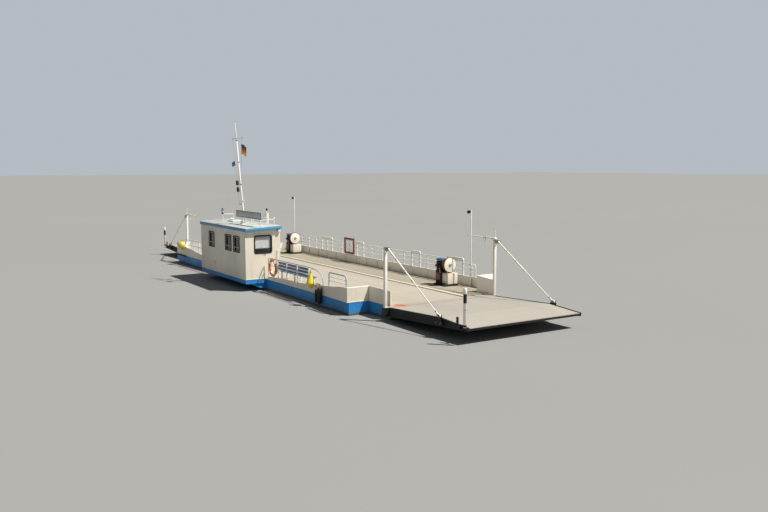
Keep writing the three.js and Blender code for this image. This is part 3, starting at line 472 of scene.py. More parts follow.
# near-black lining: painted shade of the cabin's inside, over the boards' own brown
liningWoodAndShade = paintMaterial("liningWoodAndShade", (0.055, 0.036, 0.024), chips=0.0, blotches=0.2, streaks=0.1)
ropeFibre = ropeMaterial("ropeFibre", (0.42, 0.34, 0.22), (0.16, 0.12, 0.07), 0.05)
wireRope = ropeMaterial("wireRope", (0.12, 0.115, 0.11), (0.03, 0.028, 0.025), 0.06, 0.5)
flagCloth = clothMaterial("flagCloth", [((0.03, 0.025, 0.025), 2 / 3), ((0.80, 0.17, 0.03), 1 / 3),
                                        ((0.95, 0.55, 0.08), 0)])
pennantCloth = clothMaterial("pennantCloth", [((0.05, 0.12, 0.34), 0.5), ((0.10, 0.20, 0.42), 0)])
bareSteel = metalMaterial("bareSteel", (0.55, 0.55, 0.54), (0.16, 0.10, 0.06), 0.25)
brassMetal = metalMaterial("brassMetal", (0.58, 0.53, 0.44), (0.30, 0.24, 0.16), 0.45)
print("materials ready")


# A shape is (points, faces, uvs): lists of point numbers, and for each the place round and along it
def gridFaces(count, sides, along, loop=False, flipped=False):
    # point number = i * sides + j, with ring i along the shape and point j round the ring
    i = np.arange(count if loop else count - 1)[:, None]
    j = np.arange(sides)[None, :]
    nextI, nextJ = (i + 1) % count, (j + 1) % sides
    corners = [i * sides + j, nextI * sides + j, nextI * sides + nextJ, i * sides + nextJ]
    step = along[1] - along[0] if len(along) > 1 else 0.0
    later = np.append(along[1:], along[-1] + step)[: len(i), None] + 0.0 * j
    sooner = along[: len(i), None] + 0.0 * j
    u = (j + 0.0 * i) / sides
    marks = [np.stack(pair, -1) for pair in
             ((u, sooner), (u, later), (u + 1 / sides, later), (u + 1 / sides, sooner))]
    if flipped:
        corners, marks = corners[::-1], marks[::-1]
    return np.stack(corners, -1).reshape(-1, 4), np.stack(marks, -2).reshape(-1, 4, 2)


def closeRings(grid, along, loop=False, flipped=False):
    # rings joined into a tube; open ends get a face each, and flipped turns all faces round
    count, sides = grid.shape[:2]
    quads, marks = gridFaces(count, sides, along, loop, flipped)
    faces, uvs = [quads], [marks]
    if not loop:
        first, last = np.arange(sides), (count - 1) * sides + np.arange(sides)
        caps = (first[::-1], last) if flipped else (first, last[::-1])
        faces += [cap[None] for cap in caps]
        uvs += [np.zeros((1, sides, 2))] * 2
    return grid.reshape(-1, 3), faces, uvs


def rectProfile(width, depth, corner, steps=3):
    # four quarter arcs at the corners, joined by straight sides, counter-clockwise
    turn = np.linspace(0, np.pi / 2, steps + 1)
    quarter = np.arange(4)[:, None] * np.pi / 2 + turn[None, :]
    middle = np.array([[1, 1], [-1, 1], [-1, -1], [1, -1]]) * [width / 2 - corner, depth / 2 - corner]
    arcs = corner * np.stack([np.cos(quarter), np.sin(quarter)], -1)
    return (arcs + middle[:, None]).reshape(-1, 2)


def circleProfile(radius, sides=16):
    # radius * (cos, sin) at even steps round the circle
    turn = np.arange(sides) * twoPi / sides
    return radius * np.stack([np.cos(turn), np.sin(turn)], 1)


def unit(v):
    # each vector divided by its length
    return v / np.linalg.norm(v, axis=-1, keepdims=True)


def lengthsAlong(path):
    # the sum of the steps so far, 0 at the first point
    return np.concatenate([[0], np.cumsum(np.linalg.norm(np.diff(path, axis=0), axis=1))])


def carry(profile, path, up=axisZ, loop=False):
    # point = path + a * side + b * lift, with side = tangent x up and lift = side x tangent
    path = np.asarray(path, float)
    if loop:
        tangent = np.roll(path, -1, 0) - np.roll(path, 1, 0)
    else:
        tangent = np.gradient(path, axis=0)
    tangent = unit(tangent)
    side = unit(np.cross(tangent, up))
    lift = np.cross(side, tangent)
    section = np.broadcast_to(profile, (len(path),) + profile.shape[-2:])
    grid = path[:, None] + section[..., :1] * side[:, None] + section[..., 1:] * lift[:, None]
    return closeRings(grid, lengthsAlong(path), loop)


# The section is drawn in by these shares of the softening at six stations, and so its ends are rounded
softInset = np.array([0.75, 0.3, 0.0, 0.0, 0.3, 0.75])


def softEnds(a, b, soften):
    # stations from a to b: 0, a quarter and the whole of the softening from either end
    a, b = np.asarray(a, float), np.asarray(b, float)
    length = np.linalg.norm(b - a)
    steps = np.array([0.0, 0.25, 1.0]) * soften
    along = np.concatenate([steps, length - steps[::-1]])
    return a + (b - a) * (along / length)[:, None]


def softRings(width, depth, soften):
    # the rounded rectangle of each station, smaller all round by the inset there
    return np.stack([rectProfile(width - 2 * d, depth - 2 * d, soften * 1.01 - d)
                     for d in softInset * soften])


def block(low, high, soften=0.006):
    # level rounded rectangles stacked up: point = path + (a, b, 0)
    low, high = np.asarray(low, float), np.asarray(high, float)
    soften = min(soften, *(0.45 * (high - low)))
    middle = (low + high) / 2
    rings = softRings(*(high - low)[:2], soften)
    path = softEnds((*middle[:2], low[2]), (*middle[:2], high[2]), soften)
    grid = path[:, None] + np.concatenate([rings, np.zeros(rings.shape[:2] + (1,))], -1)
    return closeRings(grid, path[:, 2], flipped=True)


def beam(a, b, width, depth, soften=0.006, up=axisZ):
    # a rounded rectangle carried from a to b; depth is along up
    soften = min(soften, 0.45 * width, 0.45 * depth)
    return carry(softRings(width, depth, soften), softEnds(a, b, soften), up)


def rod(a, b, radius, endRadius=None, sides=16, soften=0.003):
    # a circle carried from a to b, its radius running evenly from one end to the other
    a, b = np.asarray(a, float), np.asarray(b, float)
    soften = min(soften, 0.4 * radius, 0.2 * np.linalg.norm(b - a))
    path = softEnds(a, b, soften)
    t = np.linalg.norm(path - a, axis=1) / np.linalg.norm(b - a)
    radii = radius + ((endRadius or radius) - radius) * t - softInset * soften
    up = axisZ if abs(unit(b - a)[2]) < 0.9 else axisX
    return carry(circleProfile(1.0, sides) * radii[:, None, None], path, up)


def upright(x, y, low, high, *shape, **more):
    # a rod along Z
    return rod((x, y, low), (x, y, high), *shape, **more)


def level(x0, x1, y, z, *shape, **more):
    # a rod along X
    return rod((x0, y, z), (x1, y, z), *shape, **more)


def crossways(x, y0, y1, z, *shape, **more):
    # a rod along Y
    return rod((x, y0, z), (x, y1, z), *shape, **more)


def roundedPath(points, bend, steps=6):
    # each inner corner becomes (1-t)^2 start + 2t(1-t) corner + t^2 end
    points = np.asarray(points, float)
    before, corner, after = points[:-2], points[1:-1], points[2:]
    backLength = np.linalg.norm(before - corner, axis=1)
    onLength = np.linalg.norm(after - corner, axis=1)
    reach = np.minimum(bend, 0.49 * np.minimum(backLength, onLength))[:, None]
    start = corner + (before - corner) / backLength[:, None] * reach
    end = corner + (after - corner) / onLength[:, None] * reach
    t = np.linspace(0, 1, steps + 1)[None, :, None]
    curve = (1 - t) ** 2 * start[:, None] + 2 * t * (1 - t) * corner[:, None] + t ** 2 * end[:, None]
    return np.concatenate([points[:1], curve.reshape(-1, 3), points[-1:]])


def pipe(points, radius, bend=0.1, sides=12, up=None):
    # a circle carried along a path with rounded corners; up is the axis that the path leaves least
    path = roundedPath(points, bend) if len(points) > 2 else np.asarray(points, float)
    if up is None:
        up = np.eye(3)[int(np.argmin(path.max(0) - path.min(0)))]
    return carry(circleProfile(radius, sides), path, up)


def smoothCurve(points, per=5):
    # Catmull-Rom: each stretch is a cubic through its two ends, with slopes from the points beside them
    points = np.asarray(points, float)
    padded = np.concatenate([points[:1], points, points[-1:]])
    p0, p1, p2, p3 = padded[:-3], padded[1:-2], padded[2:-1], padded[3:]
    t = np.linspace(0, 1, per, endpoint=False)[None, :, None]
    p0, p1, p2, p3 = (p[:, None] for p in (p0, p1, p2, p3))
    curve = 0.5 * (2 * p1 + (p2 - p0) * t + (2 * p0 - 5 * p1 + 4 * p2 - p3) * t ** 2
                   + (3 * p1 - p0 - 3 * p2 + p3) * t ** 3)
    return np.concatenate([curve.reshape(-1, points.shape[1]), points[-1:]])


def turned(profile, place, axis=axisZ, steps=32):
    # [radius, height] pairs turned about an axis; a radius of 0 is drawn to a small flat end
    profile = np.asarray(profile, float)
    axis = unit(np.asarray(axis, float))
    path = np.asarray(place, float) + profile[:, 1:] * axis
    flat = np.maximum(profile[:, 0], 0.0005)
    side = unit(np.cross(axis, axisZ if abs(axis[2]) < 0.9 else axisX))
    lift = np.cross(side, axis)
    turn = np.arange(steps) * twoPi / steps
    around = np.cos(turn)[:, None] * side + np.sin(turn)[:, None] * lift
    return closeRings(path[:, None] + flat[:, None, None] * around[None], lengthsAlong(path))


def hoop(place, axis, radius, profile, steps=48):
    # a closed section carried round a circle; its first number is outwards, its second along the axis
    axis = unit(np.asarray(axis, float))
    side = unit(np.cross(axis, axisZ if abs(axis[2]) < 0.9 else axisX))
    lift = np.cross(axis, side)
    turn = np.arange(steps)[:, None] * twoPi / steps
    path = np.asarray(place, float) + radius * (np.cos(turn) * side + np.sin(turn) * lift)
    return carry(profile, path, axis, loop=True)


def arc(place, radius, angles, axis=axisY):
    # points on a circle about Y: x = cos, z = sin; about X: y = cos, z = sin
    first = axisX if axis[1] else axisY
    angles = np.asarray(angles)[:, None]
    return np.asarray(place, float) + radius * (np.cos(angles) * first + np.sin(angles) * axisZ)


def rope(path, radius, lay=0.08, sides=9, up=axisZ):
    # three strands: radius * (0.84 + 0.16 |cos(1.5 (angle - 2 pi s / lay))|), s being the length so far
    path = np.asarray(path, float)
    turn = np.arange(sides)[None, :] * twoPi / sides
    swell = 0.84 + 0.16 * np.abs(np.cos(1.5 * (turn - twoPi * lengthsAlong(path)[:, None] / lay)))
    section = radius * swell[..., None] * np.stack([np.cos(turn), np.sin(turn)], -1)
    return carry(section, path, up)


def inPlane(profile, middle, facing, proud):
    # point = middle + a * across + b * up + proud * facing, where across x up = facing
    across = np.cross(axisZ, facing)
    return np.asarray(middle, float) + profile[:, :1] * across + profile[:, 1:] * axisZ + proud * facing


def windowFrame(middle, facing, width, height, corner, section):
    # the section's [outwards, proud] pairs, each a rounded rectangle that much larger than the hole
    rings = [inPlane(rectProfile(width + 2 * out, height + 2 * out, corner + out), middle, facing, proud)
             for out, proud in section]
    spacing = 0.02 * np.arange(len(rings))
    return closeRings(np.array(rings), spacing, loop=True, flipped=True)


def frameSection(out, proud, width, depth, corner):
    # a rounded rectangle about a middle that lies out from the hole and proud of the wall
    return rectProfile(width, depth, corner, 2) + [out, proud]


def studs(places, radius, height, facing=axisZ, sides=6):
    # many short bolts or rivets as one mesh: every place gets the same three rings
    places = np.asarray(places, float)
    one, faces, uvs = turned([[radius, 0], [radius, 0.7 * height], [0.6 * radius, height]], (0, 0, 0),
                             facing, sides)
    shift = (np.arange(len(places)) * len(one))[:, None, None]
    points = (places[:, None] + one[None]).reshape(-1, 3)
    many = [(face[None] + shift).reshape(-1, face.shape[-1]) for face in faces]
    marks = [np.broadcast_to(uv[None], (len(places),) + uv.shape).reshape(-1, *uv.shape[1:]) for uv in uvs]
    return points, many, marks


def makePiece(name, parts, replaces=(), body="hull", bevel=0.0):
    # joins (shape, material) pairs into one mesh, which rides on a body and takes the place of the nodes
    # in replaces; base and loops count the points and corners so far
    points, start, total, corner, slots, marks, materials = [], [], [], [], [], [], []
    base, loops = 0, 0
    for (shapePoints, faces, uvs), material in parts:
        if material not in materials:
            materials.append(material)
        for group, uv in zip(faces, uvs):
            count, sides = group.shape
            corner.append(group.ravel() + base)
            marks.append(uv.reshape(-1, 2))
            total.append(np.full(count, sides))
            start.append(loops + np.arange(count) * sides)
            slots.append(np.full(count, materials.index(material)))
            loops += count * sides
        points.append(shapePoints)
        base += len(shapePoints)
    mesh = bpy.data.meshes.new(name)
    mesh.vertices.add(base)
    mesh.vertices.foreach_set("co", np.concatenate(points).astype(np.float32).ravel())
    mesh.loops.add(loops)
    mesh.loops.foreach_set("vertex_index", np.concatenate(corner).astype(np.int32))
    start = np.concatenate(start)
    mesh.polygons.add(len(start))
    mesh.polygons.foreach_set("loop_start", start.astype(np.int32))
    mesh.polygons.foreach_set("loop_total", np.concatenate(total).astype(np.int32))
    mesh.polygons.foreach_set("material_index", np.concatenate(slots).astype(np.int32))
    layer = mesh.uv_layers.new(name="UVMap")
    layer.data.foreach_set("uv", np.concatenate(marks).astype(np.float32).ravel())
    for material in materials:
        mesh.materials.append(material)
    mesh.update(calc_edges=True)
    mesh.shade_smooth()
    mesh.set_sharp_from_angle(angle=np.radians(35))
    piece = bpy.data.objects.new(name, mesh)
    bpy.context.scene.collection.objects.link(piece)
    if bevel:
        rounding = piece.modifiers.new("soften", "BEVEL")
        rounding.width = bevel
        rounding.segments = 2
        rounding.harden_normals = True
    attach(piece, body)
    if replaces:
        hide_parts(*replaces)


def dress(material, *names):
    # gives the frame's own pieces a material
    for name in names:
        for place in nodes[name].material_slots:
            place.material = material


def makeFloor():
    size = 400.0
    mesh = bpy.data.meshes.new("floor")
    corners = [(-size, -size, waterZ), (size, -size, waterZ), (size, size, waterZ), (-size, size, waterZ)]
    mesh.from_pydata(corners, [], [(0, 1, 2, 3)])
    floor = bpy.data.objects.new("floor", mesh)
    bpy.context.scene.collection.objects.link(floor)
    material, tree, shader = newMaterial("floorPlain", Roughness=0.85)
    tint = mixColour(tree, noiseNode(tree, 0.05, 2.0), (0.285, 0.29, 0.29), (0.305, 0.31, 0.31))
    link(tree, tint, shader.inputs["Base Color"])
    mesh.materials.append(material)


makeFloor()

# Nodes whose shape is right, with their finish
dress(hullPaint, "hull", "cabin_sponson")
dress(deckCoat, "deck")
dress(rampCoat, "ramp_right_deck", "ramp_left_deck")
dress(footwayCoat, "footway")
dress(creamPaint, "bulwark_near_right", "bulwark_near_left", "cabin_wall_near", "cabin_wall_right",
      "cabin_wall_left", "cabin_wall_deck", "cabin_door")
# the far bulwark takes the paler cream: painted light
dress(paintedLightCream, "bulwark_far")
dress(beamPaint, "end_beam_right", "end_beam_left")
dress(tarPaint, "ramp_right_frame", "ramp_left_frame")
dress(clearGlass, "pane_right", "pane_left")
dress(paintedShadeGlass, "pane_near", "pane_deck", "pane_door")
dress(whitePaint, "mast_step")
print("frame dressed")

ends = (("right", 1), ("left", -1))
rows = (("near", -1), ("far", 1))
clear = 0.0005  # a foot stands this far above its plate


# Posts: square tube on a bolted foot plate, head cheeks, a dark cap and the cylinder's pin
post = dict(x=10.2, y=2.42, side=0.10, top=3.04, cap=0.014, foot=0.074, footTop=0.964, bead=0.005,
            bolt=0.0615, boltSize=(0.011, 0.013), pinX=10.4, pinZ=2.97, pin=0.02, pinHalf=0.060,
            washer=0.032, washerAt=(0.050, 0.058), cheek=0.046, cheekHalf=0.06, cheekPast=0.05)


def makePosts():
    half, foot, footTop = post["side"] / 2, post["foot"], post["footTop"]
    low, top, capped = deckZ + clear, post["top"], post["top"] - post["cap"]
    for end, facing in ends:
        for row, way in rows:
            x, y, z = facing * post["x"], way * post["y"], post["pinZ"]
            parts = [(block((x - half, y - half, low), (x + half, y + half, capped), 0.012), whitePaint),
                     (block((x - foot, y - foot, low), (x + foot, y + foot, footTop), 0.005), whitePaint),
                     (block((x - half, y - half, capped), (x + half, y + half, top), 0.005), capPaint)]
            bolts = [(x + i * post["bolt"], y + j * post["bolt"], footTop - 0.002)
                     for i in (-1, 1) for j in (-1, 1)]
            parts.append((studs(bolts, *post["boltSize"]), bareSteel))
            pinX, tall = facing * post["pinX"], post["cheekHalf"]
            x0, x1 = sorted((x + facing * half * 0.9, facing * (post["pinX"] + post["cheekPast"])))
            for side in (-1, 1):
                cheek = y + side * post["cheek"]
                parts.append((block((x0, cheek - 0.004, z - tall), (x1, cheek + 0.004, z + tall), 0.004),
                              capPaint))
            a, b, pinHalf = *post["washerAt"], post["pinHalf"]
            parts += [(crossways(pinX, y - pinHalf, y + pinHalf, z, post["pin"]), bareSteel),
                      (crossways(pinX, y + a, y + b, z, post["washer"], sides=24), bareSteel),
                      (crossways(pinX, y - b, y - a, z, post["washer"], sides=24), bareSteel)]
            # weld bead round the tube's foot
            line = rectProfile(post["side"] + 0.006, post["side"] + 0.006, 0.014) + [x, y]
            path = np.concatenate([line, np.full((len(line), 1), footTop)], 1)
            parts.append((carry(circleProfile(post["bead"], 6), path, loop=True), whitePaint))
            makePiece(f"post_{end}_{row}_tube", parts, [f"post_{end}_{row}"])


# Ramp cylinders: a barrel with its gland and clamps, and a rod with its eye, from the post's pin to the
# ramp's
ram = dict(upper=(10.4, 2.97), lower=(13.3, 1.15), y=2.42, barrel=1.75, barrelRadius=0.029, eye=0.045,
           eyeHalf=0.034, rod=1.95, rodRadius=0.020, rodEye=0.049, rodEyeHalf=0.026, rodEnd=0.052)


def ramPlace(facing, way, distance):
    # the point of the cylinder's line at this distance from its upper pin
    upper, lower = np.array(ram["upper"]), np.array(ram["lower"])
    x, z = upper + (lower - upper) * distance / np.linalg.norm(lower - upper)
    return np.array([facing * x, way * ram["y"], z])


def ramSleeves(facing, way, table):
    # each row is (from, to, radius, paint), from and to measured from the upper pin
    return [(rod(ramPlace(facing, way, a), ramPlace(facing, way, b), radius, sides=24), paint)
            for a, b, radius, paint in table]


def makeRams():
    span = np.linalg.norm(np.array(ram["lower"]) - np.array(ram["upper"]))
    thick, thin, mouth, rodEnd = ram["barrelRadius"], ram["rodRadius"], ram["barrel"], span - ram["rodEnd"]
    barrelSleeves = [(0.075, mouth - 0.004, thick, whitePaint),
                     (mouth - 0.10, mouth, thick + 0.007, whitePaint),
                     (mouth - 0.075, mouth - 0.055, thick + 0.010, bareSteel),
                     (0.10, 0.15, thick + 0.006, whitePaint), (0.55, 0.58, thick + 0.004, bareSteel),
                     (1.15, 1.18, thick + 0.004, bareSteel), (0.02, 0.10, 0.030, whitePaint)]
    rodSleeves = [(span - ram["rod"], rodEnd, thin, whitePaint),
                  (span - 0.20, rodEnd, thin + 0.008, whitePaint),
                  (span - 0.23, span - 0.19, thin + 0.012, bareSteel)]
    eyeSection = rectProfile(0.022, 2 * ram["rodEyeHalf"], 0.004)
    for end, facing in ends:
        for row, way in rows:
            x, y, z = ramPlace(facing, way, 0)
            barrel = ramSleeves(facing, way, barrelSleeves)
            pin = crossways(x, y - ram["eyeHalf"], y + ram["eyeHalf"], z, ram["eye"], sides=24)
            barrel.append((pin, whitePaint))
            makePiece(f"barrel_{end}_{row}_tube", barrel, [f"cylinder_{end}_{row}"],
                      f"barrel_{end}_{row}")
            shaft = ramSleeves(facing, way, rodSleeves)
            lug = ramPlace(facing, way, span)
            shaft.append((hoop(lug, axisY, ram["rodEye"], eyeSection, 32), whitePaint))
            makePiece(f"rod_{end}_{row}_shaft", shaft, [f"rod_{end}_{row}"],
                      f"piston_{end}_{row}")


makePosts()
makeRams()
print("posts and cylinders done")


# Ramp fittings: rivets along the rims, a round wear bar at the tip, washers and bolts on the lugs
ramp = dict(lip=(10.40, 0.95), bend=(13.25, 1.08), tip=(14.65, 0.98), rimY=2.33, rimProud=0.009, pitch=0.30,
            rivet=(0.014, 0.006), tipBar=0.016, tipHalf=2.28, tipZ=0.974, lugY=2.42, washer=0.034,
            washerAt=(0.049, 0.058), bolt=(0.016, 0.012), boltX=0.11, boltZ=0.93)


def makeRampFittings():
    lineX, lineZ = np.array([ramp["lip"], ramp["bend"], ramp["tip"]]).T
    xs = np.arange(lineX[0] + 0.15, lineX[2] - 0.1, ramp["pitch"])
    zs = np.interp(xs, lineX, lineZ) + ramp["rimProud"]
    a, b = ramp["washerAt"]
    for end, facing in ends:
        places = [np.stack([facing * xs, np.full(len(xs), way * ramp["rimY"]), zs], 1) for way in (-1, 1)]
        tip, half, tipZ = facing * (lineX[2] - ramp["tipBar"]), ramp["tipHalf"], ramp["tipZ"]
        parts = [(studs(np.concatenate(places), *ramp["rivet"], sides=8), tarPaint),
                 (crossways(tip, -half, half, tipZ, ramp["tipBar"], sides=12), capPaint)]
        pinX, pinZ = facing * ram["lower"][0], ram["lower"][1]
        for way in (-1, 1):
            y = way * ramp["lugY"]
            bolts = [(pinX + i * ramp["boltX"], y + way * a, ramp["boltZ"]) for i in (-1, 1)]
            parts += [(crossways(pinX, y - b, y - a, pinZ, ramp["washer"], sides=24), bareSteel),
                      (crossways(pinX, y + a, y + b, pinZ, ramp["washer"], sides=24), bareSteel),
                      (studs(bolts, *ramp["bolt"], facing=way * axisY), bareSteel)]
        makePiece(f"ramp_{end}_fittings", parts, (), f"ramp_{end}")


makeRampFittings()


# Height of the near bulwarks above the deck along X
nearRight = ((1.7, 0.11), (4.7, 0.20), (6.7, 0.34), (8.65, 0.51))
nearLeft = ((-8.65, 0.43), (-8.0, 0.40), (-7.0, 0.30), (-4.7, 0.12), (-3.85, 0.11))


def sheerHeight(x, table):
    xs, heights = np.array(table).T
    return deckZ + float(np.interp(x, xs, heights)) + 0.001


# Edges of the hull: flat bars on the far bulwark, bars along the footway's kerb as (aside, z, width, depth,
# softening), round bars on the bulwarks and where the deck meets the side, rubber blocks on the wing
edges = dict(capTop=1.378, capWide=0.072, kerbY=1.177, kerbHalf=9.9,
             kerbBars=((-0.006, 0.973, 0.020, 0.041, 0.004), (0.044, 0.9925, 0.10, 0.006, 0.002)),
             capBar=0.024, rubbing=0.014, cornerTop=1.461, barZ=1.362,
             blocks=5, blockX=-10.22, blockPitch=0.30, blockLong=0.2, blockZ=(0.865, 0.965))


def makeEdges():
    y, z = halfBeam - 0.03, edges["capTop"] - 0.004
    runs = [((-8.65, y), (9.47, y)), ((-8.62, 2.10), (-8.62, halfBeam)), ((-10.08, 2.11), (-8.6, 2.11))]
    cap = [(beam((*a, z), (*b, z), edges["capWide"], 0.008, 0.003), trimPaint) for a, b in runs]
    makePiece("bulwark_cap", cap)
    reach, kerbY = edges["kerbHalf"], edges["kerbY"]
    kerb = [(beam((-reach, kerbY + aside, z), (reach, kerbY + aside, z), width, depth, soften), kerbPaint)
            for aside, z, width, depth, soften in edges["kerbBars"]]
    makePiece("footway_kerb", kerb)

    y, cornerTop = -halfBeam + 0.03, edges["cornerTop"]
    near = [(x, y, sheerHeight(x, nearRight)) for x in (1.66, 1.7, 4.7, 6.7)]
    near += [(8.62, y - 0.07, sheerHeight(8.62, nearRight)), (8.62, -2.12, cornerTop),
             (10.06, -2.11, cornerTop)]
    left = [(x, y, sheerHeight(x, nearLeft)) for x in (-8.53, -8.0, -7.0, -4.7, -3.85, -3.78)]
    far = [(x, halfBeam - 0.052, edges["barZ"]) for x in (-8.6, 9.46)]
    bars = [(pipe(points, edges["capBar"], 0.02, 12, up=axisZ), trimPaint) for points in (near, left, far)]
    makePiece("bulwark_bars", bars)
    low = [(1.66, -halfBeam, deckZ), (6.7, -halfBeam, deckZ), (8.65, -halfBeam - 0.068, deckZ),
           (8.652, -2.142, deckZ), (10.07, -2.142, deckZ)]
    back = [(-8.5, -halfBeam, deckZ), (-3.77, -halfBeam, deckZ)]
    rubbing = [(pipe(points, edges["rubbing"], 0.02, 10, up=axisZ), trimPaint) for points in (low, back)]
    makePiece("rubbing_bar", rubbing)

    wing, (z0, z1) = [], edges["blockZ"]
    for k in range(edges["blocks"]):
        x = edges["blockX"] + k * edges["blockPitch"]
        bolts = [(x + along, -halfBeam - 0.034, (z0 + z1) / 2) for along in (0.05, 0.15)]
        wing += [(block((x, -halfBeam - 0.035, z0), (x + edges["blockLong"], -halfBeam + 0.002, z1), 0.015),
                  rubberBlack),
                 (studs(bolts, 0.012, 0.006, facing=-axisY), bareSteel)]
    makePiece("wing_blocks", wing)


makeEdges()
print("ramps and edges done")


# Rails: round pipe with rounded corners, on small foot flanges
rails = dict(radius=0.022, thin=0.017, heavy=0.034, hoop=0.030, farY=2.94, nearY=-2.94, farFoot=1.3705,
             farTop=1.95, farBars=(1.77, 1.59), frameTop=2.04, endX=8.45, endTop=1.87, endBar=1.69,
             nearTop=1.87, nearBar=1.56, hoopTop=1.86, hoopBars=(1.56, 1.70), leftTop=1.85, leftBar=1.56)
farPosts = (-8.5, -7.7, -6.8, -5.9, -5.1, -2.3, -1.3, 0.6, 1.56, 2.51, 3.37, 5.18, 6.2, 7.1, 7.64)
farFrames = ((-4.4, -3.85, -3.31), (-0.78, -0.16), (4.0, 4.62), (7.02, 7.66))
nearPosts = (1.75, 2.7, 3.54, 4.5, 5.5, 6.69)
leftPosts = (-8.45, -7.7, -6.9, -6.0, -5.0, -4.0)
lamp = dict(top=4.04, radii=(0.028, 0.022), places=((-7.7, 2.94, 1.3705), (8.25, 2.85, footwayZ + clear)),
            shade=[[0, 0], [0.030, 0.0], [0.048, 0.02], [0.056, 0.07], [0.067, 0.125], [0.068, 0.135],
                   [0.059, 0.136], [0.050, 0.10], [0, 0.09]],
            lens=[[0, 0], [0.048, 0], [0.050, 0.01], [0.03, 0.022], [0, 0.026]])


def flange(x, y, z, radius=0.036):
    # a disc with a raised middle, turned about Z
    return turned([[0, -0.004], [radius, -0.004], [radius, 0.006], [0.6 * radius, 0.010], [0, 0.010]],
                  (x, y, z), steps=20)


def lampPole(x, y, footZ):
    # tapered pole with a short arm, and the shade and its lens looking to the left
    top, aim = lamp["top"], (-1, 0, -0.3)
    arm = [(x, y, top - 0.04), (x, y, top - 0.015), (x - 0.10, y, top - 0.035)]
    return [(upright(x, y, footZ, top - 0.02, *lamp["radii"], 20), railPaint),
            (flange(x, y, footZ, 0.06), railPaint), (pipe(arm, 0.014, 0.03), railPaint),
            (turned(lamp["shade"], (x - 0.055, y, top - 0.052), aim), rubberBlack),
            (turned(lamp["lens"], (x - 0.144, y, top - 0.079), aim), lensGlass)]


def makeFarRail():
    y, foot, top, r = rails["farY"], rails["farFoot"], rails["farTop"], rails["radius"]
    first, last = farPosts[0], farPosts[-1]
    parts = [(pipe([(first, y, foot), (first, y, top), (last, y, top), (last, y, foot)], r, 0.09), railPaint)]
    parts += [(level(first, last, y, z, rails["thin"]), railPaint) for z in rails["farBars"]]
    parts += [(upright(x, y, foot, top, r), railPaint) for x in farPosts[1:-1]]
    parts += [(flange(x, y, foot + 0.006), railPaint) for x in farPosts]
    for posts in farFrames:
        a, b, z = posts[0], posts[-1], rails["frameTop"]
        parts.append((pipe([(a, y, foot), (a, y, z), (b, y, z), (b, y, foot)], rails["heavy"], 0.045, 16),
                      railPaint))
        parts += [(upright(x, y, foot, z, rails["heavy"]), railPaint) for x in posts[1:-1]]
        parts += [(flange(x, y, foot + 0.006, 0.045), railPaint) for x in posts]
    # a lower stretch up to the corner, with two clips that hold the lamp pole
    endX, endTop, endBar = rails["endX"], rails["endTop"], rails["endBar"]
    poleX, poleY, _ = lamp["places"][1]
    parts += [(pipe([(last, y, endTop), (endX, y, endTop), (endX, y, foot)], r, 0.09), railPaint),
              (level(last, endX, y, endBar, rails["thin"]), railPaint),
              (upright(poleX, y, foot, endTop, r), railPaint)]
    for z in (endTop, endBar):
        parts.append((crossways(poleX, y, poleY, z, 0.014), railPaint))
        parts.append((hoop((poleX, poleY, z), axisZ, 0.028, rectProfile(0.008, 0.03, 0.002), 20), bareSteel))
    for place in lamp["places"]:
        parts += lampPole(*place)
    makePiece("far_rail_pipes", parts, ["rail_far"])


def makeNearRails():
    y, r, top, bar = rails["nearY"], rails["radius"], rails["nearTop"], rails["nearBar"]
    feet = {x: sheerHeight(x, nearRight) for x in nearPosts}
    first, *middle, last = nearPosts
    sweep = [(first, y, feet[first]), (first, y, top), (5.5, y, top), (6.05, y, 1.85), (6.42, y, 1.76),
             (6.65, y, 1.60), (last, y, feet[last])]
    parts = [(pipe(sweep, r, 0.16), paleBluePaint),
             (level(first, middle[-1], y, bar, rails["thin"]), paleBluePaint)]
    parts += [(upright(x, y, feet[x], top, r), railPaint) for x in middle]
    parts += [(flange(x, y, feet[x]), railPaint) for x in nearPosts]
    makePiece("near_rail_pipes", parts, ["rail_near"])

    a, b, top = 7.15, 8.43, rails["hoopTop"]
    footA, footB = sheerHeight(a, nearRight), sheerHeight(b, nearRight)
    parts = [(pipe([(a, y, footA), (a, y, top), (b, y, top), (b, y, footB)], rails["hoop"], 0.14, 16),
              paleBluePaint)]
    parts += [(level(a + 0.01, b - 0.01, y, z, rails["thin"]), railPaint) for z in rails["hoopBars"]]
    parts += [(flange(x, y, z, 0.042), railPaint) for x, z in ((a, footA), (b, footB))]
    makePiece("near_hoop_pipes", parts, ["rail_near_hoop"])

    xs, top, bar = leftPosts, rails["leftTop"], rails["leftBar"]
    feet = [sheerHeight(x, nearLeft) for x in xs]
    bars = [(xs[0], y, feet[0]), (xs[0], y, top), (xs[-1], y, top), (xs[-1], y, feet[-1])]
    parts = [(pipe(bars, r, 0.1), railPaint),
             (level(xs[0], xs[-1], y, bar, rails["thin"]), paleBluePaint)]
    parts += [(upright(x, y, z, top, r), railPaint) for x, z in zip(xs[1:-1], feet[1:-1])]
    parts += [(flange(x, y, z), railPaint) for x, z in zip(xs, feet)]
    makePiece("near_left_rail_pipes", parts, ["rail_near_left"])


makeFarRail()
makeNearRails()
print("rails done")


# Life ring with four white bands, a grab line held at each band, and two hooks from the rail
lifeRing = dict(place=(2.36, -3.022, 1.51), radius=0.32, thick=0.055, bands=4, bandAngle=0.40, line=0.006,
                hooks=(-0.12, 0.12), hook=0.007)


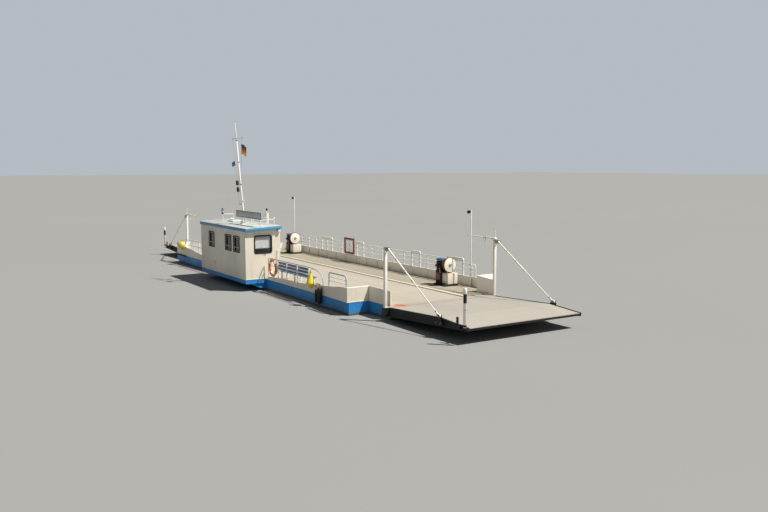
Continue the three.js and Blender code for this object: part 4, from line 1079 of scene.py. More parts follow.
def makeLifeRing():
    place, radius, thick = lifeRing["place"], lifeRing["radius"], lifeRing["thick"]
    parts = [(hoop(place, axisY, radius, circleProfile(thick, 20), 64), ringOrange)]
    quarter = twoPi / lifeRing["bands"]
    # from band to band the line's distance from the middle grows by 0.012 sin(pi t) |sin(3 pi t)|
    t = np.linspace(0, 1, 25)
    sag = radius + thick + 0.006 + 0.012 * np.sin(np.pi * t) * np.abs(np.sin(3 * np.pi * t))
    for k in range(lifeRing["bands"]):
        middle = (k + 0.5) * quarter
        band = arc(place, radius, middle + np.linspace(-0.5, 0.5, 9) * lifeRing["bandAngle"])
        line = np.asarray(place) + sag[:, None] * arc((0, 0, 0), 1.0, middle + t * quarter)
        parts += [(carry(circleProfile(thick + 0.003, 20), band, axisY), ringWhite),
                  (rope(line, lifeRing["line"], 0.03, up=axisY), ropeFibre)]
    for side in lifeRing["hooks"]:
        x = place[0] + side
        hook = [(x, rails["nearY"], 1.87), (x, -2.985, 1.875), (x, -3.07, 1.865), (x, -3.09, 1.80)]
        parts.append((pipe(hook, lifeRing["hook"], 0.03, 8, up=axisX), bareSteel))
    makePiece("life_ring_foam", parts, ["life_ring"])


# Floats, each hung from the rail by a lashing; profiles are [radius, height], and each lashing starts above
# the neck of its float
floats = dict(
    y=-3.16,
    right=dict(place=(6.07, 1.13), upAxis=axisX, hold=((6.06, -3.05, 1.85), (6.05, -2.952, 1.86)),
               profile=[[0, 0], [.04, .012], [.12, .09], [.16, .175], [.163, .22], [.14, .29],
                        [.105, .38], [.068, .48], [.045, .57], [.042, .68]]),
    left=dict(place=(-8.95, 1.29), upAxis=axisZ, hold=((-8.75, -3.04, 1.80), (-8.47, -2.952, 1.83)),
              profile=[[0, 0], [.09, .025], [.16, .10], [.186, .22], [.16, .33],
                       [.09, .41], [.034, .44], [.03, .48]]))


def makeFloats():
    y = floats["y"]
    for end, _ in ends:
        (x, z), profile, hold, upAxis = (floats[end][key] for key in ("place", "profile", "hold", "upAxis"))
        shape = np.concatenate([smoothCurve(profile), [[0, profile[-1][1] + 0.008]]])
        neckRadius, neck = profile[-1][0], z + profile[-1][1]
        lashing = roundedPath([(x, y, neck + 0.03), *hold], 0.05, 8)
        parts = [(turned(shape, (x, y, z), steps=40), floatYellow),
                 (hoop((x, y, neck - 0.045), axisZ, neckRadius + 0.004, circleProfile(0.008, 8), 24),
                  ropeFibre),
                 (hoop((x, y, neck + 0.016), axisY, 0.018, circleProfile(0.006, 8), 24), bareSteel),
                 (rope(lashing, 0.007, 0.04, up=upAxis), ropeFibre)]
        makePiece(f"float_{end}", parts, [f"buoy_{end}"])


# Fender: two black rolls, each (x, radius, foot, height), hung by ropes from one bar whose ends hook over
# the bulwark
fender = dict(y=-3.066, rolls=((6.35, 0.062, 0.62, 0.50), (6.60, 0.082, 0.60, 0.62)), barZ=1.338, bar=0.015,
              ribs=4, hook=0.009)


def makeFender():
    y, barZ = fender["y"], fender["barZ"]
    first, last = fender["rolls"][0][0], fender["rolls"][1][0]
    parts = [(level(first - 0.03, last + 0.03, y, barZ, fender["bar"]), bareSteel)]
    for x, r, low, tall in fender["rolls"]:
        profile = [[0, 0], [0.3 * r, 0.0], [0.7 * r, 0.1 * r], [0.92 * r, 0.35 * r], [r, 0.7 * r],
                   [r, 1.5 * r], [r, tall - 1.5 * r], [r, tall - 0.7 * r], [0.92 * r, tall - 0.35 * r],
                   [0.7 * r, tall - 0.1 * r], [0.3 * r, tall], [0, tall]]
        parts.append((turned(profile, (x, y, low), steps=40), rubberBlack))
        parts += [(hoop((x, y, low + h), axisZ, r, circleProfile(0.006, 8), 40), rubberBlack)
                  for h in np.linspace(0.2, 0.8, fender["ribs"]) * tall]
        loop = [(x - 0.03, y, low + tall - 0.01), (x - 0.018, y, barZ), (x, y, barZ + 0.022),
                (x + 0.018, y, barZ), (x + 0.03, y, low + tall - 0.01)]
        parts.append((rope(roundedPath(loop, 0.03), 0.008, 0.04, up=axisY), ropeFibre))
    for x in (first + 0.09, last - 0.09):
        hold = [(x, y, barZ), (x, y + 0.03, barZ + 0.02), (x, -2.96, 1.325), (x, -2.93, 1.31)]
        parts.append((pipe(hold, fender["hook"], 0.02, 8, up=axisX), bareSteel))
    makePiece("fender_rolls", parts, ["fender"])


def blocks(table, x=0.0):
    # rounded boxes, each row (low corner, high corner, softening, paint), moved along X
    return [(block(np.add(low, (x, 0, 0)), np.add(high, (x, 0, 0)), soften), paint)
            for low, high, soften, paint in table]


# Bench: four seat boards and three back boards on welded stands, whose bars are given from the stand's x
bench = dict(x=(2.6, 5.3), seats=4, seatY=-2.845, seatZ=(1.394, 1.42), board=0.084, pitch=0.092,
             backY=(-2.88, -2.856), backZ=(1.46, 1.58, 1.70), backTall=0.10, stands=(2.75, 3.95, 5.12),
             bars=(((0, -2.82, deckZ + clear), (0.05, -2.77, 1.394), 0.006, railPaint),
                   ((0, -2.56, deckZ + clear), (0.05, -2.51, 1.394), 0.006, railPaint),
                   ((0, -2.84, 1.36), (0.05, -2.49, 1.394), 0.006, railPaint),
                   ((0, -2.81, 1.05), (0.05, -2.52, 1.085), 0.006, railPaint),
                   ((0.005, -2.856, 1.36), (0.045, -2.832, 1.80), 0.006, railPaint),
                   ((-0.02, -2.835, deckZ + clear), (0.07, -2.755, 0.960), 0.003, railPaint),
                   ((-0.02, -2.575, deckZ + clear), (0.07, -2.495, 0.960), 0.003, railPaint)))


def makeBench():
    (x0, x1), (z0, z1), pitch = bench["x"], bench["seatZ"], bench["pitch"]
    seatYs = [bench["seatY"] + k * pitch for k in range(bench["seats"])]
    backY0, backY1 = bench["backY"]
    parts = [(block((x0, y, z0), (x1, y + bench["board"], z1), 0.008), benchBlue) for y in seatYs]
    parts += [(block((x0, backY0, z), (x1, backY1, z + bench["backTall"]), 0.008), benchBlue)
              for z in bench["backZ"]]
    for x in bench["stands"]:
        parts += blocks(bench["bars"], x)
        seat = [(x + 0.025, y + 0.5 * pitch - 0.004, z1 - 0.002) for y in seatYs]
        back = [(x + 0.025, backY1 + 0.001, z + bench["backTall"] / 2) for z in bench["backZ"]]
        parts += [(studs(seat, 0.011, 0.005, sides=10), bareSteel),
                  (studs(back, 0.011, 0.005, facing=axisY, sides=10), bareSteel)]
    makePiece("bench_boards", parts, ["bench"])


# Rescue rack: red-brown frame with pale slats, clipped to the far rail
rack = dict(x=(-1.91, -0.97), y=(2.856, 2.916), z=(1.40, 2.19), side=0.095, slat=0.05,
            slats=((-1.66, ringWhite), (-1.46, paleBluePaint), (-1.26, ringWhite)), clip=0.006, clipY=2.965)


def makeRack():
    (x0, x1), (y0, y1), (z0, z1), side = rack["x"], rack["y"], rack["z"], rack["side"]
    parts = [(block((x0, y0, z0), (x0 + side, y1, z1), 0.01), brownPaint),
             (block((x1 - side, y0, z0), (x1, y1, z1), 0.01), brownPaint),
             (block((x0 + 0.01, y0 + 0.002, z1 - side), (x1 - 0.01, y1 - 0.002, z1), 0.01), brownPaint),
             (block((x0 + 0.01, y0 + 0.002, z0), (x1 - 0.01, y1 - 0.002, z0 + side), 0.01), brownPaint)]
    for x, paint in rack["slats"]:
        low, high = (x, y0 + 0.012, z0 + 0.02), (x + rack["slat"], y1 - 0.02, z1 - 0.02)
        parts.append((block(low, high, 0.008), paint))
    for x in (x0 + 0.035, x1 - 0.035):
        for z in rails["farBars"]:
            clip = [(x, y1 - 0.004, z - 0.03), (x, rack["clipY"], z - 0.03), (x, rack["clipY"], z + 0.03),
                    (x, y1 - 0.004, z + 0.03)]
            parts.append((pipe(clip, rack["clip"], 0.02, 8, up=axisX), bareSteel))
    makePiece("rescue_rack_frame", parts, ["rescue_rack"])


makeLifeRing()
makeFloats()
makeFender()
makeBench()
makeRack()
print("small gear done")


# Winches: a bed with a cream box, the engine under its blue hood, and a drum with rope behind a white disc.
# Places along X are from the disc's face
winch = dict(places=dict(right=7.72, left=-6.19), y=2.24, z=1.84, drum=0.15, turns=8, layers=(0.0125, 0.034),
             rope=0.011, rear=0.22, rim=0.31, disc=0.28, bead=0.267, bolts=6, boltCircle=0.11,
             louvres=7, louvreZ=1.64, louvrePitch=0.045,
             boxes=(((-0.74, 1.94, footwayZ + clear), (0.04, 2.60, 1.05), 0.008, tarPaint),
                    ((-0.40, 2.10, 1.045), (0.03, 2.59, 1.50), 0.012, creamPaint),
                    ((-0.41, 2.09, 1.048), (0.04, 2.60, 1.075), 0.006, tarPaint),
                    ((-0.34, 2.094, 1.15), (-0.08, 2.104, 1.44), 0.004, trimPaint),
                    ((-0.12, 2.078, 1.27), (-0.10, 2.10, 1.33), 0.005, bareSteel),
                    ((-0.71, 2.03, 1.045), (-0.34, 2.45, 1.60), 0.03, tarPaint),
                    ((-0.69, 2.05, 1.59), (-0.36, 2.43, 1.982), 0.05, tarPaint),
                    ((-0.70, 2.03, 1.975), (-0.345, 2.45, 2.06), 0.035, hoodBlue),
                    ((-0.66, 2.012, 1.20), (-0.40, 2.06, 1.50), 0.02, brownPaint)),
             hub=[[0.075, -0.006], [0.075, 0.002], [0.058, 0.010], [0.055, 0.030], [0.046, 0.035],
                  [0, 0.035]])


def makeWinchStand(end, x):
    y, z = winch["y"], winch["z"]
    parts = blocks(winch["boxes"], x)
    for k in range(winch["louvres"]):
        h = winch["louvreZ"] + winch["louvrePitch"] * k
        parts += blocks([((-0.705, 2.035, h), (-0.345, 2.445, h + 0.014), 0.005, tarPaint)], x)
    exhaust = [(x - 0.52, 2.44, 1.9), (x - 0.52, 2.50, 1.9), (x - 0.52, 2.50, 2.12)]
    lever = [(x - 0.36, 2.06, 1.5), (x - 0.36, 2.0, 1.52), (x - 0.36, 1.97, 1.72)]
    parts += [(level(x - 0.335, x - 0.288, y, z, 0.06, sides=28), bareSteel),
              (hoop((x - 0.30, y, z), axisX, 0.066, rectProfile(0.02, 0.02, 0.004), 32), tarPaint),
              (pipe(exhaust, 0.02, 0.03), bareSteel),
              (crossways(x - 0.62, 2.04, 1.975, 1.78, 0.055, sides=24), brownPaint),
              (pipe(lever, 0.010, 0.03), bareSteel),
              (rod((x - 0.36, 1.969, 1.71), (x - 0.36, 1.965, 1.78), 0.018, sides=16), rubberBlack)]
    corners = [(x + a, b, 1.049) for a in (-0.70, -0.04) for b in (1.98, 2.04)]
    parts.append((studs(corners, 0.016, 0.014), bareSteel))
    makePiece(f"winch_{end}_stand", parts, [f"winch_{end}_frame"])


def makeWinchReel(end, x):
    y, z, drum = winch["y"], winch["z"], winch["drum"]

    def wheel(a, b, radius, sides, soften, paint):
        return level(x + a, x + b, y, z, radius, sides=sides, soften=soften), paint
    angles = np.arange(winch["bolts"]) * twoPi / winch["bolts"]
    bolts = arc((x - 0.004, y, z), winch["boltCircle"], angles, axisX)
    parts = [wheel(-0.282, -0.262, winch["rear"], 48, 0.006, brownPaint),
             wheel(-0.264, -0.058, drum, 40, 0.003, tarPaint),
             wheel(-0.061, -0.036, winch["rim"], 56, 0.008, brownPaint),
             wheel(-0.037, -0.003, winch["disc"], 56, 0.008, discPaint),
             (hoop((x - 0.012, y, z), axisX, winch["bead"], rectProfile(0.022, 0.024, 0.006), 56), discPaint),
             (turned(winch["hub"], (x, y, z), axisX, 32), brassMetal),
             (studs(bolts, 0.012, 0.010, facing=axisX), bareSteel)]
    # each layer of rope is a helix: a circle of the layer's radius, moved evenly along the drum
    for k, lift in enumerate(winch["layers"]):
        turns = winch["turns"] - k
        angle = np.linspace(0, twoPi * turns, turns * 30 + 1)
        along = np.linspace(-0.25 + 0.01 * k, -0.074 - 0.01 * k, len(angle))
        coil = arc((0, 0, 0), drum + lift, angle, axisX) + [x, y, z] + along[:, None] * axisX
        parts.append((rope(coil, winch["rope"], 0.05, up=axisX), wireRope))
    makePiece(f"winch_{end}_reel", parts, [f"winch_{end}_drum"], f"drum_{end}")


# Marker posts beside the ramp tips, each on a bar from its bracket, white with a black band
marker = dict(y=-2.455, tall=1.2, band=(0.74, 1.01), clipAt=(0.52, 0.54), inboard=0.355, barZ=1.06,
              bracket=(0.036, 0.025, 0.90, 1.28), plateY=-2.3705, right=(14.62, 1.01), left=(14.19, 0.91))


def makeMarker(end, facing):
    x, foot = marker[end]
    x, y, tall, barZ = facing * x, marker["y"], marker["tall"], marker["barZ"]
    inboard = x - facing * marker["inboard"]
    (a, b), (c, d) = marker["band"], marker["clipAt"]
    long, deep, low, high = marker["bracket"]
    tube = [[0, 0], [0.046, 0.0], [0.050, 0.006], [0.049, b], [0.056, b + 0.015], [0.057, tall - 0.06],
            [0.051, tall - 0.03], [0.036, tall - 0.008], [0, tall]]
    band = [[0.045, a], [0.0525, a], [0.0525, b + 0.004], [0.045, b + 0.004]]
    bolts = [(inboard, y - deep + 0.001, h) for h in (1.10, 1.20)]
    parts = [(turned(tube, (x, y, foot), steps=24), whitePaint),
             (turned(band, (x, y, foot), steps=24), tarPaint),
             (turned([[0.04, c], [0.053, c], [0.053, d], [0.04, d]], (x, y, foot), steps=24), bareSteel),
             (block((inboard - long, y - deep, low), (inboard + long, y + deep, high), 0.006), tarPaint),
             (block((inboard - 0.028, y, 0.91), (inboard + 0.028, marker["plateY"], 1.02), 0.006), tarPaint),
             (level(inboard, x, y, barZ, 0.022), tarPaint),
             (hoop((x, y, barZ), axisZ, 0.053, rectProfile(0.008, 0.06, 0.003), 28), tarPaint),
             (studs(bolts, 0.013, 0.010, facing=-axisY), bareSteel)]
    makePiece(f"marker_{end}_post", parts, [f"marker_{end}"], f"ramp_{end}")


for endName, place in winch["places"].items():
    makeWinchStand(endName, place)
    makeWinchReel(endName, place)
for endName, outwards in ends:
    makeMarker(endName, outwards)
print("winches and markers done")


# Davits: a socket, an arm inboard whose tubes are (from, to, radius, sides, paint), collars, a chain and
# its loop
davit = dict(z=3.085, tip=3.41, arm=((0, 0.64, 0.040, 20, railPaint), (0.62, 1.32, 0.027, 16, railPaint),
                                     (1.30, 1.61, 0.016, 16, railPaint),
                                     (1.59, 1.61, 0.022, 16, bareSteel)),
             collars=(0.12, 0.50, 0.60), collar=(0.025, 0.046), hookAt=0.546, links=4, link=0.018,
             loop=(0.042, 0.072),
             socket=[[0, 0], [0.066, 0], [0.07, 0.006], [0.07, 0.05], [0.055, 0.074], [0.03, 0.084],
                     [0, 0.084]])


def makeDavit(end, facing, way):
    x, y, z = facing * post["x"], way * post["y"], davit["z"]

    def inboard(d, lift=0.0):
        return x - facing * d, y, z + lift
    parts = [(turned(davit["socket"], (x, y, 3.046), steps=32), railPaint),
             (upright(x, y, z, davit["tip"], 0.013), railPaint)]
    parts += [(rod(inboard(a), inboard(b), radius, sides=sides), paint)
              for a, b, radius, sides, paint in davit["arm"]]
    tip = davit["tip"]
    finial = [(x, y, tip - 0.01), (x - 0.05, y, tip + 0.02), (x - 0.09, y, tip - 0.01)]
    parts.append((pipe(finial, 0.006, 0.02, 8), bareSteel))
    wide, radius = davit["collar"]
    parts += [(rod(inboard(d), inboard(d + wide), radius, sides=24), bareSteel) for d in davit["collars"]]
    hookAt, links = davit["hookAt"], davit["links"]
    for k in range(links):
        parts.append((hoop(inboard(hookAt, -0.055 - 0.03 * k), axisX if k % 2 else axisY, davit["link"],
                           circleProfile(0.006, 8), 16), ringWhite))
    # pear-shaped loop below the chain: x = wide * sin t * (1 - 0.35 cos t), z = tall * cos t
    t = np.linspace(0, twoPi, 40, endpoint=False)
    wide, tall = davit["loop"]
    pear = np.stack([wide * np.sin(t) * (1 - 0.35 * np.cos(t)), 0 * t, tall * np.cos(t)], 1)
    pear = pear + inboard(hookAt, -0.055 - 0.03 * links - tall + 0.012)
    parts.append((carry(circleProfile(0.010, 8), pear, axisY, loop=True), ringWhite))
    makePiece(f"davit_{end}_arm", parts, [f"davit_{end}"], f"davit_{end}")


makeDavit("right", 1, 1)
makeDavit("left", -1, -1)
print("davits done")


# Mast: tapered pole with its yard, collars and a lamp, and the halyard with the day shapes
mast = dict(foot=(-0.44, -3.12, 3.50), top=(-1.25, -3.12, 7.74), lower=(0.047, 0.034), upper=(0.028, 0.014),
            jointZ=6.9, yard=(-1.50, -0.45), yardZ=6.99, yardRadius=0.018, lampZ=4.2,
            collars=(4.9, 5.9, 6.86), cleats=(5.0, 5.1),
            lamp=[[0, -0.02], [0.026, -0.02], [0.034, 0.0], [0.034, 0.05], [0.02, 0.066], [0, 0.07]],
            head=[[0, 0], [0.020, 0.0], [0.024, 0.01], [0.016, 0.03], [0, 0.035]],
            yardEnd=[[0, 0], [0.02, 0], [0.024, 0.012], [0.02, 0.024], [0, 0.024]],
            lineFoot=(-0.76, 4.05), line=0.005, shapes=((0.645, 0.71), (0.745, 0.81)), shape=0.062)


def mastAt(z, aside=0.0):
    # the point of the raked mast's middle line at height z
    foot, top = np.array(mast["foot"]), np.array(mast["top"])
    return foot + (top - foot) * (z - foot[2]) / (top[2] - foot[2]) + aside * axisX


def makeMast():
    footX, y, footZ = mast["foot"]
    (x0, x1), yardZ, lampZ, jointZ = mast["yard"], mast["yardZ"], mast["lampZ"], mast["jointZ"]
    parts = [(rod(np.array(mast["foot"]), mastAt(jointZ), *mast["lower"], 24), whitePaint),
             (rod(mastAt(jointZ - 0.05), mastAt(7.72), *mast["upper"], 20), whitePaint),
             (crossways(footX, y - 0.040, y + 0.040, footZ, 0.054, sides=28), whitePaint),
             (level(x0, x1, y, yardZ, mast["yardRadius"], sides=16), whitePaint),
             (rod(mastAt(lampZ, -0.09), mastAt(lampZ, 0.16), 0.014), whitePaint),
             (turned(mast["lamp"], mastAt(lampZ, 0.15), steps=24), lensGlass),
             (upright(x0 + 0.03, y, yardZ, yardZ - 0.06, 0.012), bareSteel),
             (turned(mast["head"], mastAt(7.705), steps=20), bareSteel)]
    for z in mast["collars"]:
        parts.append((rod(mastAt(z), mastAt(z + 0.05), 0.05 - 0.004 * (z - 4.0), sides=24), bareSteel))
    for x in (x0, x1):
        parts.append((turned(mast["yardEnd"], (x - 0.012, y, yardZ), axisX, 20), bareSteel))
    for z in mast["cleats"]:
        cleat = [mastAt(z, 0.03), mastAt(z, 0.07), mastAt(z + 0.03, 0.075)]
        parts.append((pipe(cleat, 0.006, 0.01, 8, up=axisY), bareSteel))
    makePiece("mast_pole", parts, ["mast"], "mast")

    lineX, lineZ = mast["lineFoot"]
    high, low = np.array([x0 + 0.04, y - 0.045, yardZ + 0.01]), np.array([lineX, y - 0.045, lineZ])
    parts = [(rod(high, low, mast["line"], sides=8), ropeFibre)]
    for a, b in mast["shapes"]:
        parts.append((rod(high + (low - high) * a, high + (low - high) * b, mast["shape"], sides=32,
                          soften=0.008), rubberBlack))
    parts += [(block(low + [-0.02, -0.015, -0.01], low + [0.16, 0.007, 0.03], 0.004), bareSteel),
              (rod(low + [0.14, -0.004, 0.01], mastAt(4.06), 0.012), bareSteel)]
    makePiece("day_shapes", parts, ["day_signals"], "mast")


# Cloth flown from a line: along each row the cloth turns by swing * sin(2 pi u / fold), growing from
# nothing over the start, and x and y are the sums of its cosines and sines. It droops by the square of
# the distance from the line
weave = dict(columns=90, rows=30, thick=0.0012, start=0.08, depth=0.9)
flag = dict(name="flag_cloth", place=(-0.475, -3.15, 6.71), way=1, length=0.60, height=0.42, swing=1.15,
            fold=0.24, droop=0.13, lean=0.0)
pennant = dict(name="pennant_cloth", place=(-1.222, -3.165, 5.98), way=-1, length=0.38, height=0.20,
               swing=0.9, fold=0.19, droop=0.07, lean=0.235)


def makeCloth(cloth, material, body, replaces=()):
    columns, count = weave["columns"], weave["rows"]
    u = np.linspace(0, cloth["length"], columns)
    v = np.linspace(0, cloth["height"], count)
    angle = cloth["swing"] * np.sin(twoPi * u / cloth["fold"]) * np.minimum(1, u / weave["start"])
    between = (angle[1:] + angle[:-1]) / 2
    across = np.concatenate([[0], np.cumsum(np.cos(between))]) * (u[1] - u[0])
    aside = np.concatenate([[0], np.cumsum(np.sin(between))]) * (u[1] - u[0])
    x0, y0, z0 = cloth["place"]
    down = cloth["droop"] * (u / cloth["length"]) ** 2
    x = x0 + cloth["way"] * across[:, None] + cloth["lean"] * v[None, :]
    z = z0 - v[None, :] - down[:, None]
    grid = np.stack(np.broadcast_arrays(x, y0 + weave["depth"] * aside[:, None], z), -1).reshape(-1, 3)
    first = np.arange(columns - 1)[:, None] * count + np.arange(count - 1)[None, :]
    quads = np.stack([first, first + 1, first + count + 1, first + count], -1).reshape(-1, 4)
    mesh = bpy.data.meshes.new(cloth["name"])
    mesh.from_pydata(grid.tolist(), [], quads.tolist())
    layer = mesh.uv_layers.new(name="UVMap")
    corner = quads.ravel()
    uv = np.stack([corner // count / (columns - 1), 1 - (corner % count) / (count - 1)], 1)
    layer.data.foreach_set("uv", uv.astype(np.float32).ravel())
    mesh.materials.append(material)
    mesh.shade_smooth()
    piece = bpy.data.objects.new(cloth["name"], mesh)
    bpy.context.scene.collection.objects.link(piece)
    thicken = piece.modifiers.new("thickness", "SOLIDIFY")
    thicken.thickness = weave["thick"]
    thicken.offset = 0
    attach(piece, body)
    if replaces:
        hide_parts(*replaces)


def makeFlags():
    makeCloth(flag, flagCloth, "mast", ["flag"])
    makeCloth(pennant, pennantCloth, "mast")
    x, y = mast["yard"][1] - 0.03, flag["place"][1]
    line = [(rod((x, y, mast["yardZ"] - 0.021), (x + 0.012, y, 5.5), 0.004, sides=8), ropeFibre),
            (upright(x, y, 6.72, 6.735, 0.012), bareSteel),
            (upright(x + 0.004, y, 6.27, 6.285, 0.012), bareSteel)]
    makePiece("flag_halyard", line, (), "mast")


makeMast()
makeFlags()
print("mast done")


# Roof: a shell that slopes to the near side, blue along its edge, with a pale coat inside a low rim. The
# hatch and the lid on it are (x0, x1, y0, y1, under, over, softening), heights from the roof's top
roof = dict(x=(-3.81, 1.74), y=(-3.96, -2.27), low=3.0105, thick=0.139, rise=0.085, rim=0.05,
            bar=(0.022, 0.016),
            hatch=(-2.35, -1.75, -3.12, -2.66, -0.004, 0.055, 0.012),
            lid=(-2.32, -1.78, -3.09, -2.69, 0.05, 0.066, 0.006), ventAt=(-2.75, -2.75),
            vent=[[0.05, 0], [0.05, 0.05], [0.11, 0.055], [0.12, 0.07], [0.10, 0.10], [0.05, 0.115],
                  [0, 0.118]])


def roofZ(y):
    # height of the roof's top at y
    y0, y1 = roof["y"]
    return roof["low"] + roof["thick"] + roof["rise"] * (y - y0) / (y1 - y0)


def slopedSlab(x0, x1, y0, y1, under, over, corner):
    # a rounded section in Y and Z, each point lifted by the roof's height at its y, carried along X
    width, depth = y1 - y0, over - under
    corner = min(corner, 0.45 * depth)
    rings = []
    for d in softInset * corner:
        outline = rectProfile(width - 2 * d, depth - 2 * d, corner * 1.01 - d, 4) + [(y0 + y1) / 2, 0]
        lift = roofZ(outline[:, 0]) + (under + over) / 2
        rings.append(np.stack([outline[:, 0], outline[:, 1] + lift], 1))
    stations = softEnds((x0, 0, 0), (x1, 0, 0), corner)[:, :1]
    grid = np.concatenate([np.broadcast_to(stations[:, None], (6, len(rings[0]), 1)), np.stack(rings)], -1)
    return closeRings(grid, stations[:, 0], flipped=True)


def makeRoof():
    (x0, x1), (y0, y1), rim = roof["x"], roof["y"], roof["rim"]
    parts = [(slopedSlab(x0, x1, y0, y1, -roof["thick"], -0.030, 0.014), fasciaBlue),
             (slopedSlab(x0 + 0.010, x1 - 0.010, y0 + 0.010, y1 - 0.010, -0.034, -0.010, 0.006), roofCoat),
             (slopedSlab(x0 + rim, x1 - rim, y0 + rim, y1 - rim, -0.02, -0.004, 0.004), roofCoat)]
    # the low rim round the pale coat, a bar along each edge
    ya, yb = y0 + 0.004, y1 - 0.004
    runs = [((x0 + 0.001, y), (x1 - 0.001, y)) for y in (y0 + 0.012, y1 - 0.012)]
    runs += [((x, ya), (x, yb)) for x in (x0 + 0.012, x1 - 0.012)]
    parts += [(beam((*a, roofZ(a[1]) - 0.009), (*b, roofZ(b[1]) - 0.009), *roof["bar"], 0.005), roofCoat)
              for a, b in runs]
    makePiece("roof_shell", parts, ["cabin_roof"])

    ventX, ventY = roof["ventAt"]
    gear = [(slopedSlab(*roof["hatch"]), trimPaint), (slopedSlab(*roof["lid"]), roofCoat),
            (turned(roof["vent"], (ventX, ventY, roofZ(ventY) - 0.006), steps=32), trimPaint),
            (block((-1.30, -2.92, roofZ(-2.92) - 0.004), (-1.06, -2.74, roofZ(-2.74) + 0.07), 0.02),
             ringWhite)]
    makePiece("roof_gear", gear)


# Rail along the roof's deck side, with the lamps on it and the blank board that it steadies
roofRail = dict(y=-2.45, z=3.47, posts=(-3.3, -2.15, -1.15, 0.48, 1.3), radius=0.015, lampY=-3.0,
                lantern=[[0, 0], [0.050, 0.0], [0.055, 0.012], [0.050, 0.05], [0.050, 0.20], [0.055, 0.24],
                         [0.040, 0.275], [0.015, 0.288], [0, 0.29]],
                horn=[[0, 0], [0.030, 0.0], [0.080, 0.072], [0.080, 0.080], [0.06, 0.078], [0, 0.076]],
                topLamp=[[0, 0], [0.034, 0.0], [0.038, 0.01], [0.038, 0.08], [0.030, 0.100], [0, 0.105]],
                endLamp=[[0, 0], [0.028, 0.0], [0.032, 0.01], [0.032, 0.09], [0.02, 0.108], [0, 0.11]])
board = dict(x=(-0.98, 1.72), y=(-3.255, -3.225), z=(3.50, 3.79), legs=(0.8, 1.6), legTop=3.76, legDeep=0.029)


def makeRoofRail():
    y, z, xs, r, lampY = (roofRail[key] for key in ("y", "z", "posts", "radius", "lampY"))
    base = roofZ(y) + 0.001
    first, last, poleX = xs[0], xs[-1], xs[3]
    parts = [(level(first - 0.015, last + 0.015, y, z, r), railPaint),
             (crossways(first, y, lampY, z, r), railPaint),
             (rod((last, y, z), (board["legs"][1], board["y"][1] + 0.015, z), 0.009), railPaint)]
    parts += [(upright(x, y, base, z, r), railPaint) for x in xs]
    parts += [(flange(x, y, base + 0.004, 0.04), railPaint) for x in xs]
    # lantern on its stem at the left end, a horn and a lamp on the taller pole, a small lamp at the right end
    arm = [(poleX, y, 3.80), (poleX, y, 3.815), (poleX + 0.08, y, 3.815)]
    parts += [(rod((first, lampY, roofZ(lampY) + 0.001), (first, lampY, 3.55), 0.02), railPaint),
              (flange(first, lampY, roofZ(lampY) + 0.006, 0.045), railPaint),
              (turned(roofRail["lantern"], (first, lampY, 3.48), steps=28), boardEdge),
              (hoop((first, lampY, 3.60), axisZ, 0.047, rectProfile(0.012, 0.03, 0.004), 28), lensGlass),
              (hoop((first, lampY, 3.69), axisZ, 0.047, rectProfile(0.012, 0.06, 0.004), 28), fasciaBlue),
              (upright(poleX, y, base, 3.82, 0.018), railPaint),
              (turned(roofRail["horn"], (poleX, y, 3.64), steps=28), ringWhite),
              (pipe(arm, 0.010, 0.02, 10), railPaint),
              (turned(roofRail["topLamp"], (poleX + 0.08, y, 3.81), steps=28), rubberBlack),
              (turned(roofRail["endLamp"], (last, y, 3.46), steps=24), lensGlass)]
    (bx0, bx1), (by0, by1), (bz0, bz1) = board["x"], board["y"], board["z"]
    middle = ((bx0 + bx1) / 2, (by0 + by1) / 2, (bz0 + bz1) / 2)
    edge = frameSection(-0.015, 0, 0.03, 0.029, 0.005)
    parts += [(windowFrame(middle, -axisY, bx1 - bx0, bz1 - bz0, 0.02, edge), boardEdge),
              (block((bx0 + 0.02, by0 + 0.009, bz0 + 0.02), (bx1 - 0.02, by1 - 0.009, bz1 - 0.02), 0.003),
               boardPaint)]
    back = by1 + board["legDeep"]
    foot = roofZ(back)
    for x in board["legs"]:
        parts += [(block((x - 0.015, by1 - 0.001, foot + 0.001), (x + 0.015, back, board["legTop"]), 0.004),
                   railPaint),
                  (block((x - 0.04, by1 - 0.012, foot - 0.001), (x + 0.04, back + 0.012, foot + 0.010),
                         0.003), railPaint)]
    makePiece("roof_rail_pipes", parts, ["roof_rail"])


makeRoof()
makeRoofRail()
print("roof done")


# Windows of the cabin: black gaskets with a thin frame inside them, pale on the long sides
cabin = dict(x=(-3.75, 1.6), y=(-3.92, -2.32), wall=0.05, corner=0.035)
nearX, nearZ = ((-2.71, -2.00), (-0.69, 0.05), (0.27, 0.98)), (2.06, 2.76)
endY, endZ = (-3.52, -2.70), (2.05, 2.83)
deckX, deckSpan = ((-1.80, -0.35), (-0.05, 1.35)), (1.95, 2.76)


def windowList():
    # each is (middle, facing, width, height, corner radius), its middle on the face of the wall
    (x0, x1), (y0, y1) = cabin["x"], cabin["y"]
    found = [(((a + b) / 2, y0, sum(nearZ) / 2), -axisY, b - a, nearZ[1] - nearZ[0], 0.03) for a, b in nearX]
    found += [(((a + b) / 2, y1, sum(deckSpan) / 2), axisY, b - a, deckSpan[1] - deckSpan[0], 0.06)
              for a, b in deckX]
    found += [((x, sum(endY) / 2, sum(endZ) / 2), way * axisX, endY[1] - endY[0], endZ[1] - endZ[0], 0.09)
              for x, way in ((x1, 1), (x0, -1))]
    return found


